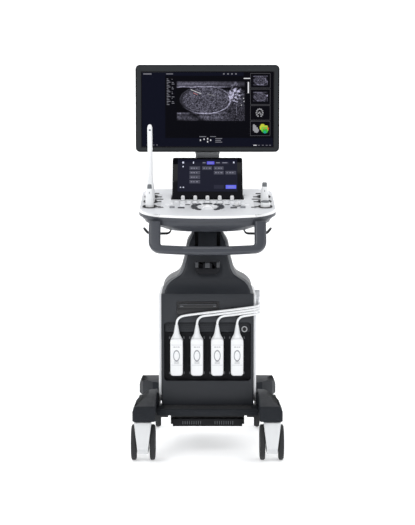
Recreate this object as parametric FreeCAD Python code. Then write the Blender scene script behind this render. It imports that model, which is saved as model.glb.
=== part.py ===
"""Ultrasound machine on a caster cart: one STEP file for each separate piece.

Millimetres. +X is the machine's right-hand side seen from the user, -Y is the user's side, +Z is up.
The origin is on the floor at the middle of the machine's bounding box.
"""
import FreeCAD, Part
import math
import os

V = FreeCAD.Vector

# ---- driving dimensions -----------------------------------------------------------------------------------
# running gear
PIVOT_X = 225.0
PIVOT_FRONT_Y = -292.0
PIVOT_REAR_Y = 268.0
TRAIL = 32.0
WHEEL_R = 62.5
WHEEL_W = 19.0
WHEEL_GAP = 46.0
STEM_R = 10.0
RUNNING = 0.05
AXLE_R = 6.0
HOUSING_TOP_Z = 146.0
# base
DECK_Z0, DECK_Z1 = 142.0, 158.0
DECK_HALF_X, DECK_FRONT_Y, DECK_REAR_Y = 160.0, -145.0, 195.0
LEG_Z0 = 150.0
LEG_END = 44.5
LEG_IN_X, LEG_OUT_X = 180.5, 261.0
LEG_TOP_FRONT, LEG_TOP_REAR = 222.0, 213.0
FOOT_X = 178.8
# cart body
BODY_X = 164.5
BODY_FRONT, BODY_REAR = -150.0, 200.0
BODY_Z0, BODY_Z1 = 173.0, 573.0
SIDE_X = 174.3
WALL = 4.0
BAY_X, BAY_Z0, BAY_Z1 = 155.0, 260.5, 471.5
PLUG_X = (-110.0, -37.6, 34.7, 105.3)
PLUG_Y = -158.0
CABLE_D = 8.0
CABLE_START_Z = 461.0
DRIVE_X0, DRIVE_X1, DRIVE_Z0, DRIVE_Z1 = -110.0, 42.0, 499.5, 547.0
# column
COLUMN_Y = 55.0
COLUMN_OUT, COLUMN_WALL, SLIDE_GAP = 43.0, 4.0, 0.4
COLUMN_OUT_TOP = 770.0
NECK_TOP = 792.0
CONSOLE_FLOOR = 804.0
SWIVEL_R = 30.0
# console
TILT = 9.0
RIM_Y, RIM_Z = -335.0, 862.0
CONSOLE_HALF_X, CONSOLE_LONG = 239.0, 466.0
TOP_T = 20.0
CUP_X, CUP_ROWS, CUP_R, CUP_WALL, CUP_DEPTH = 203.0, (150.0, 234.0, 318.0), 23.0, 2.5, 40.0
HOLDER_X0, HOLDER_X1, HOLDER_Y0, HOLDER_Y1 = 164.0, 236.0, 118.0, 366.0
ENCODER_X = (-88.0, -44.0, 0.0, 44.0, 88.0)
ENCODER_Y, ENCODER_R, ENCODER_H = 262.0, 7.0, 16.0
BALL_Y, BALL_R = 143.0, 21.0
GAIN_X, GAIN_Y, GAIN_R, GAIN_H = 103.0, 172.0, 9.0, 12.0
SPINDLE_R = 3.0
# touch panel
TOUCH_LEAN = 33.0
TOUCH_HALF_X, TOUCH_LONG, TOUCH_T = 127.0, 172.0, 18.0
TOUCH_Y, TOUCH_Z = -62.0, 908.0
TOUCH_HINGE_Y, TOUCH_HINGE_Z = -6.0, 941.0
# arm and monitor
ARM_Y, KNUCKLE_Z, LINK_LOW_Z, LINK_HIGH_Z = 100.0, 1036.0, 1076.0, 1208.0
ARM_HALF_X, PIN_R = 43.0, 5.0
HEAD_TILT_Y, HEAD_TILT_Z = 72.0, 1232.0
MON_X, MON_Z0, MON_Z1, MON_Y = 260.0, 1073.5, 1387.0, 2.0
SCREEN_X, SCREEN_Z0, SCREEN_Z1 = 238.5, 1092.0, 1361.5

# ---- cable routes: from the strain relief, across the front, round the right side, into the guide ----------
CABLE_ROUTES = {
    "probe_cable_1": [(-110, -158, 461), (-110, -158, 475), (-102.8, -158.7, 488), (-90, -160.5, 495.5),
                      (-64, -163, 500), (-18, -163, 505.5), (45, -163.4, 513), (100, -163, 519.5),
                      (186, -165, 531), (186, -92, 533), (184, -56, 533.6), (184, -20, 533.2)],
    "probe_cable_2": [(-37.6, -158, 461), (-37.6, -158, 475), (-30.4, -158.7, 488), (-17.6, -160.5, 495.5),
                      (8, -163, 498.5), (52, -163.3, 504), (102, -163, 510.5), (186, -165, 522),
                      (186, -92, 524), (184, -56, 524.6), (184, -20, 524.2)],
    "probe_cable_3": [(34.7, -158, 461), (34.7, -158, 475), (41.9, -158.7, 488), (54.7, -160.5, 495.5),
                      (81, -163, 498.5), (116, -163.3, 503.2), (186, -165, 513), (186, -94, 515),
                      (184, -57, 515.6), (184, -20, 515.2)],
    "probe_cable_4": [(105.3, -158, 461), (105.3, -158, 475), (112.5, -158.7, 488), (125.3, -160.5, 495.5),
                      (186, -165, 503.5), (186, -98, 505.6), (184, -58, 506.3), (184, -20, 506.2)],
}


# ---- helpers ----------------------------------------------------------------------------------------------
def box(x0, x1, y0, y1, z0, z1):
    return Part.makeBox(x1 - x0, y1 - y0, z1 - z0, V(x0, y0, z0))


def tube(base, radius, length, axis=V(0, 0, 1)):
    return Part.makeCylinder(radius, length, base, axis)


def plate(points, z0, z1):
    wire = Part.makePolygon([V(x, y, z0) for x, y in points] + [V(points[0][0], points[0][1], z0)])
    return Part.Face(wire).extrude(V(0, 0, z1 - z0))


def profile(points, x0, x1):
    """Extrude an outline drawn in the Y-Z plane along X."""
    wire = Part.makePolygon([V(x0, y, z) for y, z in points] + [V(x0, points[0][0], points[0][1])])
    return Part.Face(wire).extrude(V(x1 - x0, 0, 0))


def rounded(shape, radius, along=None):
    """Fillet the straight edges of a block that run along one axis, or all of them."""
    edges = []
    for edge in shape.Edges:
        ends = edge.Vertexes
        if len(ends) != 2:
            continue
        run = ends[1].Point - ends[0].Point
        if along is None or abs(run.normalize().dot(along)) > 0.999:
            edges.append(edge)
    return shape.makeFillet(radius, edges)


def soft_ring(half_x, y0, y1, radius, z):
    """Closed wire of a rounded rectangle, level at height z."""
    r = radius
    k = r * (1.0 - math.sqrt(0.5))
    pts = [(-half_x + r, y0), (half_x - r, y0), (half_x - k, y0 + k), (half_x, y0 + r), (half_x, y1 - r),
           (half_x - k, y1 - k), (half_x - r, y1), (-half_x + r, y1), (-half_x + k, y1 - k),
           (-half_x, y1 - r), (-half_x, y0 + r), (-half_x + k, y0 + k)]
    p = [V(x, y, z) for x, y in pts]
    edges = [Part.LineSegment(p[0], p[1]), Part.Arc(p[1], p[2], p[3]), Part.LineSegment(p[3], p[4]),
             Part.Arc(p[4], p[5], p[6]), Part.LineSegment(p[6], p[7]), Part.Arc(p[7], p[8], p[9]),
             Part.LineSegment(p[9], p[10]), Part.Arc(p[10], p[11], p[0])]
    return Part.Wire([e.toShape() for e in edges])


def loft(rings, ruled=False):
    return Part.makeLoft(rings, True, ruled)


def mirrored(shape):
    return shape.mirror(V(0, 0, 0), V(1, 0, 0))


def tilted(shape):
    """Place a console piece drawn flat, with its rim at y = 0 and its top at z = 0."""
    placed = shape.copy()
    placed.rotate(V(0, 0, 0), V(1, 0, 0), TILT)
    placed.translate(V(0, RIM_Y, RIM_Z))
    return placed


def join(shapes):
    solid = shapes[0]
    for other in shapes[1:]:
        solid = solid.fuse(other)
    return solid.removeSplitter()


def save(shape, name):
    shape.exportStep(os.path.join("parts", name + ".step"))


def swept(points, diameter):
    """Round tube of straight runs joined by tangent arcs."""
    pts = [V(*p) for p in points]
    edges = []
    start = pts[0]
    radii = []
    for before, here, after in zip(pts, pts[1:], pts[2:]):
        first = (here - before)
        second = (after - here)
        shorter = min(first.Length, second.Length)
        turn = first.getAngle(second)
        reach = 0.45 * shorter
        radius = reach / math.tan(turn / 2.0)
        radii.append(round(radius, 1))
        into = here - V(first).normalize() * reach
        out = here + V(second).normalize() * reach
        inward = (V(second).normalize() - V(first).normalize()).normalize()
        sag = radius * (1.0 / math.cos(turn / 2.0) - 1.0)
        middle = here + inward * sag
        edges.append(Part.LineSegment(start, into).toShape())
        edges.append(Part.Arc(into, middle, out).toShape())
        start = out
    edges.append(Part.LineSegment(start, pts[-1]).toShape())
    path = Part.Wire(edges)
    ring = Part.Wire(Part.makeCircle(diameter / 2.0, pts[0], pts[1] - pts[0]))
    solid = path.makePipeShell([ring], True, True)
    return solid, path.Length, radii


# ---- casters ----------------------------------------------------------------------------------------------
def caster_housing(pivot):
    """White fender and stem, drawn round the pivot."""
    px, py = pivot
    hub = V(px, py + TRAIL, WHEEL_R)
    core = tube(hub + V(-19.0, 0, 0), 59.0, 38.0, V(1, 0, 0))
    hood = tube(hub + V(-30.5, 0, 0), 67.5, 61.0, V(1, 0, 0)).cut(tube(hub + V(-31, 0, 0), 64.0, 62.0, V(1, 0, 0)))
    hood = hood.common(box(px - 31, px + 31, py - 60, py + TRAIL + 20, 50, HOUSING_TOP_Z))
    bonnet = box(px - 30.5, px + 30.5, py - 35.5, py + TRAIL + 20, WHEEL_R, HOUSING_TOP_Z - 1)
    bonnet = rounded(bonnet, 12.0, V(0, 0, 1)).cut(tube(hub + V(-31, 0, 0), 64.0, 62.0, V(1, 0, 0)))
    nose = box(px - 22.5, px + 22.5, py - 35.5, py - 20, 50, 84)
    nose = nose.common(tube(hub + V(-30, 0, 0), 67.5, 60.0, V(1, 0, 0)))
    taper = Part.makePolygon([V(px - 30.5, -500, 147), V(px - 18.5, -500, 48), V(px - 18.5, -500, 20),
                              V(px + 18.5, -500, 20), V(px + 18.5, -500, 48), V(px + 30.5, -500, 147),
                              V(px - 30.5, -500, 147)])
    taper = Part.Face(taper).extrude(V(0, 1000, 0))
    cap = tube(V(px, py, HOUSING_TOP_Z - 12), 24.0, 12.0)
    solid = join([core, hood, bonnet, nose]).common(taper)
    solid = join([solid, cap, tube(V(px, py, HOUSING_TOP_Z - 2), STEM_R, 46.0)])
    solid = solid.cut(box(px - 40, px + 40, py - 80, py + 120, 0, 30))
    return solid.cut(tube(hub + V(-40, 0, 0), AXLE_R + RUNNING, 80.0, V(1, 0, 0)))


def wheel_pair(pivot):
    """Two treaded wheels on one axle."""
    px, py = pivot
    hub = V(px, py + TRAIL, WHEEL_R)
    parts = [tube(hub + V(-WHEEL_GAP / 2 - 4, 0, 0), AXLE_R, WHEEL_GAP + 8, V(1, 0, 0))]
    for side in (-1, 1):
        inner = WHEEL_GAP / 2 if side > 0 else -WHEEL_GAP / 2 - WHEEL_W
        disc = tube(hub + V(inner, 0, 0), WHEEL_R, WHEEL_W, V(1, 0, 0))
        disc = disc.makeFillet(3.5, [e for e in disc.Edges if isinstance(e.Curve, Part.Circle)])
        parts.append(disc)
    return join(parts)


# ---- base -------------------------------------------------------------------------------------------------
def leg_bar(sx, pivot_y):
    root_y = DECK_FRONT_Y + 25 if pivot_y < 0 else DECK_REAR_Y - 25
    sy = -1 if pivot_y < 0 else 1
    pts = [(sx * 120, root_y - sy * 30), (sx * 160, root_y - sy * 60), (sx * (PIVOT_X + 20), pivot_y),
           (sx * (PIVOT_X - 24), pivot_y), (sx * 168, root_y + sy * 22), (sx * 120, root_y + sy * 12)]
    return plate(pts, LEG_Z0, DECK_Z1 + 8)


def base_frame():
    parts = [box(-DECK_HALF_X, DECK_HALF_X, DECK_FRONT_Y, DECK_REAR_Y, DECK_Z0, DECK_Z1)]
    for sx in (-1, 1):
        for pivot_y in (PIVOT_FRONT_Y, PIVOT_REAR_Y):
            parts.append(leg_bar(sx, pivot_y))
            parts.append(tube(V(sx * PIVOT_X, pivot_y, LEG_Z0), 24.0, 38.0))
        rail = box(126.3, 131.0, -190, 40, 112, DECK_Z0)
        lip = box(120.0, 131.0, -190, 40, 112, 115)
        for piece in (rail, lip):
            parts.append(piece if sx > 0 else mirrored(piece))
        foot = box(165, 175, -198, -170, 107, DECK_Z0 + 4)
        arm = box(140, 175, -198, -140, DECK_Z0 - 4, DECK_Z0 + 4)
        for piece in (foot, arm):
            parts.append(piece if sx > 0 else mirrored(piece))
    parts.append(box(-131, 131, -190, -140, DECK_Z0 - 5, DECK_Z0))
    frame = join(parts)
    for sx in (-1, 1):
        for pivot_y in (PIVOT_FRONT_Y, PIVOT_REAR_Y):
            frame = frame.cut(tube(V(sx * PIVOT_X, pivot_y, LEG_Z0 - 5), STEM_R + RUNNING, 60.0))
    return frame


def leg_cover_block(pivot_y, wall):
    """Outer (wall 0) or inner block of the right-hand leg cover."""
    sy = -1 if pivot_y < 0 else 1
    end = abs(pivot_y) + LEG_END - wall
    x0, x1 = LEG_IN_X + wall, LEG_OUT_X - wall
    root = 95.0 if sy < 0 else 80.0
    step = 146.0 if sy < 0 else 222.0
    plan = [(x0, end), (x1, end), (x1, end - 90), (x1 - 16, 160), (205 - wall, root + 12 + wall),
            (SIDE_X + 0.5 + wall, root + wall), (SIDE_X + 0.5 + wall, step - wall),
            (FOOT_X + 0.5 + wall, step - wall), (FOOT_X + 0.5 + wall, 232), (x0, 238)]
    top = LEG_TOP_FRONT if sy < 0 else LEG_TOP_REAR
    solid = plate([(x, sy * y) for x, y in plan], LEG_Z0 - 1 if wall == 0 else LEG_Z0 - 3, top - wall)
    roof = [(sy * (end + 5), 300), (sy * (end + 5), 196 - wall), (sy * (end - 8), 202 - wall),
            (sy * (end - 115), top - wall), (sy * (end - 115), 300)]
    solid = solid.cut(profile(roof, x0 - 20, x1 + 20))
    bevel = Part.makePolygon([V(x1 + 1, -500, 180 - wall), V(x1 - 8, -500, 199 - wall), V(x1 - 32, -500, 212 - wall),
                              V(x1 - 62, -500, 228 - wall), V(x1 + 1, -500, 228 - wall), V(x1 + 1, -500, 180 - wall)])
    return solid.cut(Part.Face(bevel).extrude(V(0, 1000, 0)))


def leg_covers():
    """Four open-bottomed covers, one over each caster arm."""
    covers = []
    for pivot_y in (PIVOT_FRONT_Y, PIVOT_REAR_Y):
        cover = leg_cover_block(pivot_y, 0.0).cut(leg_cover_block(pivot_y, WALL))
        bar_gap = plate([(170, -400), (190, -400), (190, 400), (170, 400)], LEG_Z0 - 3, DECK_Z1 + 9)
        cover = cover.cut(bar_gap)
        covers += [cover, mirrored(cover)]
    return Part.makeCompound(covers)


def footrest():
    section = [(BODY_FRONT - 0.4, 172), (-226, 172), (-232, 165), (-222, 147), (BODY_FRONT - 0.4, 147)]
    solid = profile(section, -FOOT_X, FOOT_X)
    for sx in (-1, 1):
        x0 = 130.0 if sx > 0 else -180.0
        solid = solid.cut(box(x0, x0 + 50, -223, -140, 146, 168))
    return solid


def filter_tray():
    tray = box(-125.8, 125.8, -196, 30, 115.3, 132)
    tray = tray.cut(box(-119, 119, -190, 26, 118, 133))
    face = box(-123.4, 123.4, -205, -196, 107, 133)
    for x0, x1 in ((-92, -22), (22, 92)):
        face = face.cut(box(x0, x1, -206, -201, 113, 126))
    return join([tray, face])


# ---- cart body --------------------------------------------------------------------------------------------
def front_cover():
    shell = box(-BODY_X, BODY_X, BODY_FRONT, -108, BODY_Z0, BODY_Z1)
    shell = shell.makeFillet(4.0, [e for e in shell.Edges
                                   if abs(e.CenterOfMass.y - BODY_FRONT) < 1 and e.BoundBox.ZLength > 300])
    shell = shell.cut(box(-BODY_X + WALL, BODY_X - WALL, BODY_FRONT + WALL, -100, BODY_Z0 + WALL, BODY_Z1 - WALL))
    bay = rounded(box(-BAY_X, BAY_X, BODY_FRONT - 5, -110, BAY_Z0, BAY_Z1), 12.0, V(0, 1, 0))
    shell = shell.cut(bay)
    shell = shell.cut(box(DRIVE_X0, DRIVE_X1, BODY_FRONT - 5, -110, DRIVE_Z0, DRIVE_Z1))
    shell = shell.cut(box(-60, 60, -130, -90, BODY_Z1 - 10, BODY_Z1 + 5))
    return shell.cut(tube(V(87.0, BODY_FRONT - 5, 518.0), 7.0, 40.0, V(0, 1, 0)))


def side_panel():
    """Right-hand side panel; the left one is its mirror image."""
    outline = [(-140, 210), (-118, 182), (190, 182), (190, 520), (170, 560), (150, 568), (-140, 568)]
    panel = profile(outline, BODY_X, SIDE_X)
    front = [e for e in panel.Edges if abs(e.CenterOfMass.y + 140) < 0.5 and e.CenterOfMass.x > SIDE_X - 0.5]
    return panel.makeFillet(8.5, front)


def rear_cover():
    cover = box(-BODY_X, BODY_X, 60, BODY_REAR, BODY_Z0, BODY_Z1)
    cover = rounded(cover, 3.0, V(0, 0, 1))
    cover = cover.cut(box(-BODY_X + WALL, BODY_X - WALL, 50, BODY_REAR - WALL, BODY_Z0 - 5, BODY_Z1 - WALL))
    cover = cover.cut(box(-60, 60, 50, 110, BODY_Z1 - 10, BODY_Z1 + 5))
    for row in range(6):
        z = 230 + row * 22
        cover = cover.cut(box(-110, 110, BODY_REAR - 8, BODY_REAR + 5, z, z + 9))
    return cover


def neck_cover():
    heights = [(573.5, 164, -148.5, 198), (583, 162.5, -140, 178), (600, 155, -127, 150), (613, 144, -120, 134),
               (626, 124, -115, 122), (640, 104, -111, 114), (659, 94, -106.5, 110), (692, 85, -98, 108),
               (731, 78, -84, 106), (752, 74, -75, 105), (765, 67, -69, 104), (NECK_TOP, 57, -52, 103)]
    rings = [soft_ring(hx, y0, y1, 22.0, z) for z, hx, y0, y1 in heights]
    solid = loft(rings)
    inner = loft([soft_ring(hx - 5, y0 + 5, y1 - 5, 18.0, z) for z, hx, y0, y1 in
                  ((573.0, 164, -148, 190), (590, 155, -134, 160), (622, 122, -114, 122))])
    solid = solid.cut(inner)
    bore = COLUMN_OUT + 0.3
    solid = solid.cut(box(-bore, bore, COLUMN_Y - bore, COLUMN_Y + bore, 560, 900))
    for x0 in (-45.0, 33.0):
        solid = solid.cut(box(x0, x0 + 12, -100, -20, 735, 800))
    return solid.cut(box(-36, 36, -130, -88, 641.2, 682))


def column_outer():
    tube_out = rounded(box(-COLUMN_OUT, COLUMN_OUT, COLUMN_Y - COLUMN_OUT, COLUMN_Y + COLUMN_OUT,
                           DECK_Z1, COLUMN_OUT_TOP), 4.0, V(0, 0, 1))
    inside = COLUMN_OUT - COLUMN_WALL
    return tube_out.cut(box(-inside, inside, COLUMN_Y - inside, COLUMN_Y + inside, DECK_Z1 + 8, 900))


def column_inner():
    half = COLUMN_OUT - COLUMN_WALL - SLIDE_GAP
    mast = box(-half, half, COLUMN_Y - half, COLUMN_Y + half, 420, CONSOLE_FLOOR - 8)
    head = box(-52, 52, COLUMN_Y - 52, COLUMN_Y + 52, CONSOLE_FLOOR - 8.3, CONSOLE_FLOOR - 0.4)
    stub = tube(V(0, COLUMN_Y, CONSOLE_FLOOR - 2), SWIVEL_R, 16.0)
    return join([mast, head, stub])


def port_panel():
    back = box(-BAY_X - 2, BAY_X + 2, -128, -124, BAY_Z0 - 2, BAY_Z1 + 2)
    rim = rounded(box(-BAY_X - 2, BAY_X + 2, BODY_FRONT + WALL, -124, BAY_Z0 - 2, BAY_Z1 + 2), 13.0, V(0, 1, 0))
    rim = rim.cut(rounded(box(-BAY_X, BAY_X, BODY_FRONT, -128, BAY_Z0, BAY_Z1), 12.0, V(0, 1, 0)))
    panel = join([back.common(rim.fuse(back)), rim])
    for x in PLUG_X:
        panel = panel.fuse(box(x - 29, x + 29, -133, -127, 272, 432))
    port = tube(V(132, -136, 445), 10.5, 9.0, V(0, 1, 0)).cut(tube(V(132, -137, 445), 7.0, 4.0, V(0, 1, 0)))
    return panel.fuse(port)


def probe_plug(x):
    body = rounded(box(x - 22, x + 22, -179, -133, 282.5, 416), 9.0, V(0, 1, 0))
    body = body.makeFillet(4.0, [e for e in body.Edges if abs(e.CenterOfMass.y + 179) < 0.5])
    neck = loft([soft_ring(21, -15, 15, 9, 0), soft_ring(13, -13, 13, 9, 16)])
    neck.translate(V(x, PLUG_Y, 413))
    relief = Part.makeCone(11.0, 5.2, 33.0, V(x, PLUG_Y, 428))
    return join([body, neck, relief])


def optical_drive():
    body = box(DRIVE_X0 + 0.5, DRIVE_X1 - 0.5, BODY_FRONT + 1, 5, DRIVE_Z0 + 0.5, DRIVE_Z1 - 0.5)
    body = body.cut(box(DRIVE_X0 + 6, DRIVE_X1 - 6, BODY_FRONT - 5, -4, 520.5, 541.5))
    return body


def disc_tray():
    tray = box(DRIVE_X0 + 8, DRIVE_X1 - 8, BODY_FRONT + 2, -8, 523, 533)
    tray = tray.cut(tube(V((DRIVE_X0 + DRIVE_X1) / 2, -78, 529), 60.5, 10.0))
    door = box(DRIVE_X0 + 6.4, DRIVE_X1 - 6.4, BODY_FRONT, BODY_FRONT + 3, 521, 541)
    return join([tray, door])


def neck_hook():
    """Cable hook: a trough on a back plate, with two horns at its ends."""
    back = box(-35, 35, -103, -98, 647, 681)
    floor = box(-35, 35, -128, -98, 641.5, 648)
    lip = box(-35, 35, -133, -127, 641.5, 662)
    parts = [back, floor, lip]
    for sx in (-1, 1):
        x0 = 33.0 if sx > 0 else -42.0
        parts.append(box(x0, x0 + 9, -133, -118, 655, 686))
        parts.append(box(x0, x0 + 9, -133, -127, 648, 686))
        parts.append(box(8.0 if sx > 0 else -16.0, 16.0 if sx > 0 else -8.0, -133, -100, 660, 680))
    return join(parts)


def cable_guide():
    """Side duct that takes the four cables into the cart."""
    duct = box(SIDE_X, 190.5, -20, 60, 497, 560)
    duct = duct.makeFillet(6.0, [e for e in duct.Edges if e.BoundBox.ZLength < 1 and
                                 e.CenterOfMass.x > 190 and e.BoundBox.YLength > 50])
    return duct


def card_cage():
    cage = box(-150, 150, 104, 190, 185, 470)
    return cage.cut(box(-146, 146, 108, 186, 189, 466))


# ---- console ----------------------------------------------------------------------------------------------
def console_outline(inset, z):
    """Plan of the console drawn flat: bowed front, round corners, straight sides."""
    hx = CONSOLE_HALF_X - inset
    back = CONSOLE_LONG - inset
    right = [V(165 - inset * 0.4, 21 + inset, z), V(213 - inset * 0.8, 56 + inset * 0.7, z), V(hx, 136 + inset * 0.3, z),
             V(hx, 405, z), V(hx - 18, 448 - inset, z), V(178 - inset, back, z)]
    left = [V(-p.x, p.y, p.z) for p in right]
    edges = [Part.Arc(left[0], V(0, inset, z), right[0]), Part.Arc(right[0], right[1], right[2]),
             Part.LineSegment(right[2], right[3]), Part.Arc(right[3], right[4], right[5]),
             Part.LineSegment(right[5], left[5]), Part.Arc(left[5], left[4], left[3]),
             Part.LineSegment(left[3], left[2]), Part.Arc(left[2], left[1], left[0])]
    return Part.Wire([e.toShape() for e in edges])


def console_bowl(wall):
    """Outside (wall 0) or inside of the dark lower shell, open towards the tilted top."""
    heights = [(CONSOLE_FLOOR, 98, -262, 102, 44), (808, 131, -284, 110, 58), (818, 160, -304, 116, 70),
               (829, 200, -319, 120, 84), (838, 215, -325, 121.5, 92), (850, 221, -330, 123, 98),
               (866, 229, -332, 124, 102), (884, 237, -333, 124, 104), (960, 238, -334, 124.5, 104)]
    rings = [soft_ring(hx - wall, y0 + wall, y1 - wall, r - wall, z + wall) for z, hx, y0, y1, r in heights]
    bowl = loft(rings, True)
    lid = tilted(box(-400, 400, -100, 700, -TOP_T, 300))
    plan = Part.Face(console_outline(1.0 + wall, -300)).extrude(V(0, 0, 400))
    return bowl.cut(lid).common(tilted(plan))


def console_lower():
    shell = console_bowl(0.0).cut(console_bowl(5.0))
    boss = tube(V(0, COLUMN_Y, CONSOLE_FLOOR + 4), SWIVEL_R + 12, 8.0)
    shell = shell.fuse(boss)
    for y in CUP_ROWS:
        well = tilted(tube(V(CUP_X, y, -CUP_DEPTH - 0.3), CUP_R + CUP_WALL + 0.3, 60.0))
        shell = shell.cut(well).cut(mirrored(well))
    return shell.cut(tube(V(0, COLUMN_Y, CONSOLE_FLOOR - 5), SWIVEL_R + RUNNING, 40.0))


def console_top():
    slab = Part.Face(console_outline(0.0, -TOP_T)).extrude(V(0, 0, TOP_T))
    top_edges = [e for e in slab.Edges if abs(e.CenterOfMass.z) < 0.01 and e.BoundBox.ZLength < 0.01]
    slab = slab.makeFillet(6.0, top_edges)
    for sx in (-1, 1):
        notch = box(HOLDER_X0, HOLDER_X1, HOLDER_Y0, HOLDER_Y1, -30, 10)
        slab = slab.cut(notch if sx > 0 else mirrored(notch))
    slab = slab.cut(box(-131, 131, 271, 350, -30, 10))
    for x in ENCODER_X:
        slab = slab.cut(tube(V(x, ENCODER_Y, -12), SPINDLE_R + RUNNING, 20.0))
    slab = slab.cut(tube(V(GAIN_X, GAIN_Y, -12), SPINDLE_R + RUNNING, 20.0))
    slab = slab.cut(Part.makeSphere(BALL_R + 0.3, V(0, BALL_Y, -10)))
    return tilted(slab)


def holder():
    """Right-hand probe holder rail with three cups."""
    rail = rounded(box(HOLDER_X0 + 0.1, HOLDER_X1 - 0.1, HOLDER_Y0 + 0.1, HOLDER_Y1 - 0.1, -TOP_T, 0.0), 5.0, V(0, 0, 1))
    for y in CUP_ROWS:
        rail = rail.fuse(tube(V(CUP_X, y, -CUP_DEPTH), CUP_R + CUP_WALL, CUP_DEPTH))
    for y in CUP_ROWS:
        rail = rail.cut(tube(V(CUP_X, y, -CUP_DEPTH + 3), CUP_R, CUP_DEPTH))
    return rail


def bowed_block(half_x, side_z, middle_z, top_z, thick, corner):
    """Block with a bowed lower side and two rounded lower corners, drawn round the XZ plane."""
    points = [V(-half_x, 0, top_z), V(-half_x, 0, side_z), V(half_x, 0, side_z), V(half_x, 0, top_z)]
    edges = [Part.LineSegment(points[0], points[1]), Part.Arc(points[1], V(0, 0, middle_z), points[2]),
             Part.LineSegment(points[2], points[3]), Part.LineSegment(points[3], points[0])]
    solid = Part.Face(Part.Wire([e.toShape() for e in edges])).extrude(V(0, 2 * thick, 0))
    solid.translate(V(0, -thick, 0))
    lower = [e for e in solid.Edges if e.BoundBox.YLength > thick and abs(e.CenterOfMass.z - side_z) < 1.0]
    return solid.makeFillet(corner, lower)


def handle():
    """Grab handle: two arms and a bowed bar, leaned forward."""
    loop = bowed_block(201.0, -0.5, -9.0, 112.0, 15.0, 40.0).cut(bowed_block(160.5, 23.5, 18.3, 200.0, 20.0, 7.0))
    edges = [e for e in loop.Edges if e.BoundBox.YLength < 0.01 and e.CenterOfMass.z < 111]
    loop = loop.makeFillet(9.0, edges)
    loop.rotate(V(0, 0, 0), V(1, 0, 0), -20)
    loop.translate(V(0, -347.8, 740))
    return loop.cut(console_bowl(0.0)).cut(tilted(box(-400, 400, -100, 700, -TOP_T, 300)))


def wire_hook():
    """Right-hand cable hook of bent wire, its two ends in the console shell."""
    wire, length, radii = swept([(127, -262, 830), (127, -262, 796), (205, -262, 795), (221, -262, 814),
                                 (221, -218, 814.5), (205, -218, 795), (127, -218, 796), (127, -218, 830)], 5.0)
    return wire.cut(console_bowl(0.0))


def key_bank():
    """Keys and trim ring in one moulding on the console top."""
    ring = tube(V(0, BALL_Y, 0.0), 60.0, 2.5).cut(tube(V(0, BALL_Y, -1), 34.0, 5.0))
    parts = [ring]
    for index in range(11):
        x = -110 + 22 * index
        parts.append(rounded(box(x - 8, x + 8, 216, 230, 0.0, 4.0), 2.0, V(0, 0, 1)))
    for sx in (-1, 1):
        parts.append(rounded(box(sx * 124 - 9, sx * 124 + 9, 128, 146, 0.0, 4.0), 2.0, V(0, 0, 1)))
        parts.append(rounded(box(sx * 92 - 12, sx * 92 + 12, 124, 133, 0.0, 3.0), 2.0, V(0, 0, 1)))
        parts.append(tube(V(sx * 140, 170, 0.0), 11.0, 4.0))
        parts.append(tube(V(sx * 128, 196, 0.0), 8.0, 4.0))
    parts.append(tube(V(-88, 172, 0.0), 9.0, 4.0))
    return Part.makeCompound([tilted(p) for p in parts])


def knob(x, y, radius, height):
    body = tube(V(x, y, 0.4), radius, height)
    body = body.makeFillet(1.2, [e for e in body.Edges if abs(e.CenterOfMass.z - height - 0.4) < 0.01])
    return tilted(join([body, tube(V(x, y, -11), SPINDLE_R, 12.0)]))


def trackball():
    return tilted(Part.makeSphere(BALL_R, V(0, BALL_Y, -10)))


def touch_place(shape):
    """Place a touch-panel piece drawn upright: x, thickness to +y, length along z."""
    placed = shape.copy()
    placed.rotate(V(0, 0, 0), V(1, 0, 0), -TOUCH_LEAN)
    placed.translate(V(0, TOUCH_Y, TOUCH_Z))
    return placed


def touch_case():
    case = rounded(box(-TOUCH_HALF_X, TOUCH_HALF_X, 2.0, TOUCH_T, 0, TOUCH_LONG), 8.0, V(0, 1, 0))
    case = touch_place(case)
    axis = V(0, TOUCH_HINGE_Y, TOUCH_HINGE_Z)
    for x0 in (-78.0, 58.0):
        lug = tube(axis + V(x0, 0, 0), 9.0, 20.0, V(1, 0, 0))
        foot = touch_place(box(x0, x0 + 20, TOUCH_T - 1, TOUCH_T + 9, 46, 66))
        case = case.fuse(foot).fuse(lug)
    return case.cut(tube(axis + V(-90, 0, 0), PIN_R + RUNNING, 180.0, V(1, 0, 0)))


def touch_glass():
    return touch_place(rounded(box(-TOUCH_HALF_X, TOUCH_HALF_X, 0.0, 2.0, 0, TOUCH_LONG), 8.0, V(0, 1, 0)))


def riser():
    """Bracket on the console that carries the touch panel and the monitor arm."""
    surface = tilted(box(-400, 400, -100, 700, -100, 0.0))
    block = profile([(14, 890), (14, 935), (40, 958), (122, 958), (122, 900)], -118, 118).cut(surface)
    ears = []
    for x0 in (-56.0, 36.0):
        ears.append(profile([(-12, 932), (-12, 950), (4, 950), (16, 956), (16, 920), (2, 922)], x0, x0 + 20))
    post = rounded(box(-38, 38, ARM_Y - 26, ARM_Y + 20, 940, KNUCKLE_Z - 0.4), 10.0, V(0, 0, 1))
    pin = tube(V(-85, TOUCH_HINGE_Y, TOUCH_HINGE_Z), PIN_R, 170.0, V(1, 0, 0))
    spigot = tube(V(0, ARM_Y, KNUCKLE_Z - 2), 12.0, 14.0)
    return join([block] + ears + [post, pin, spigot])


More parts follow.
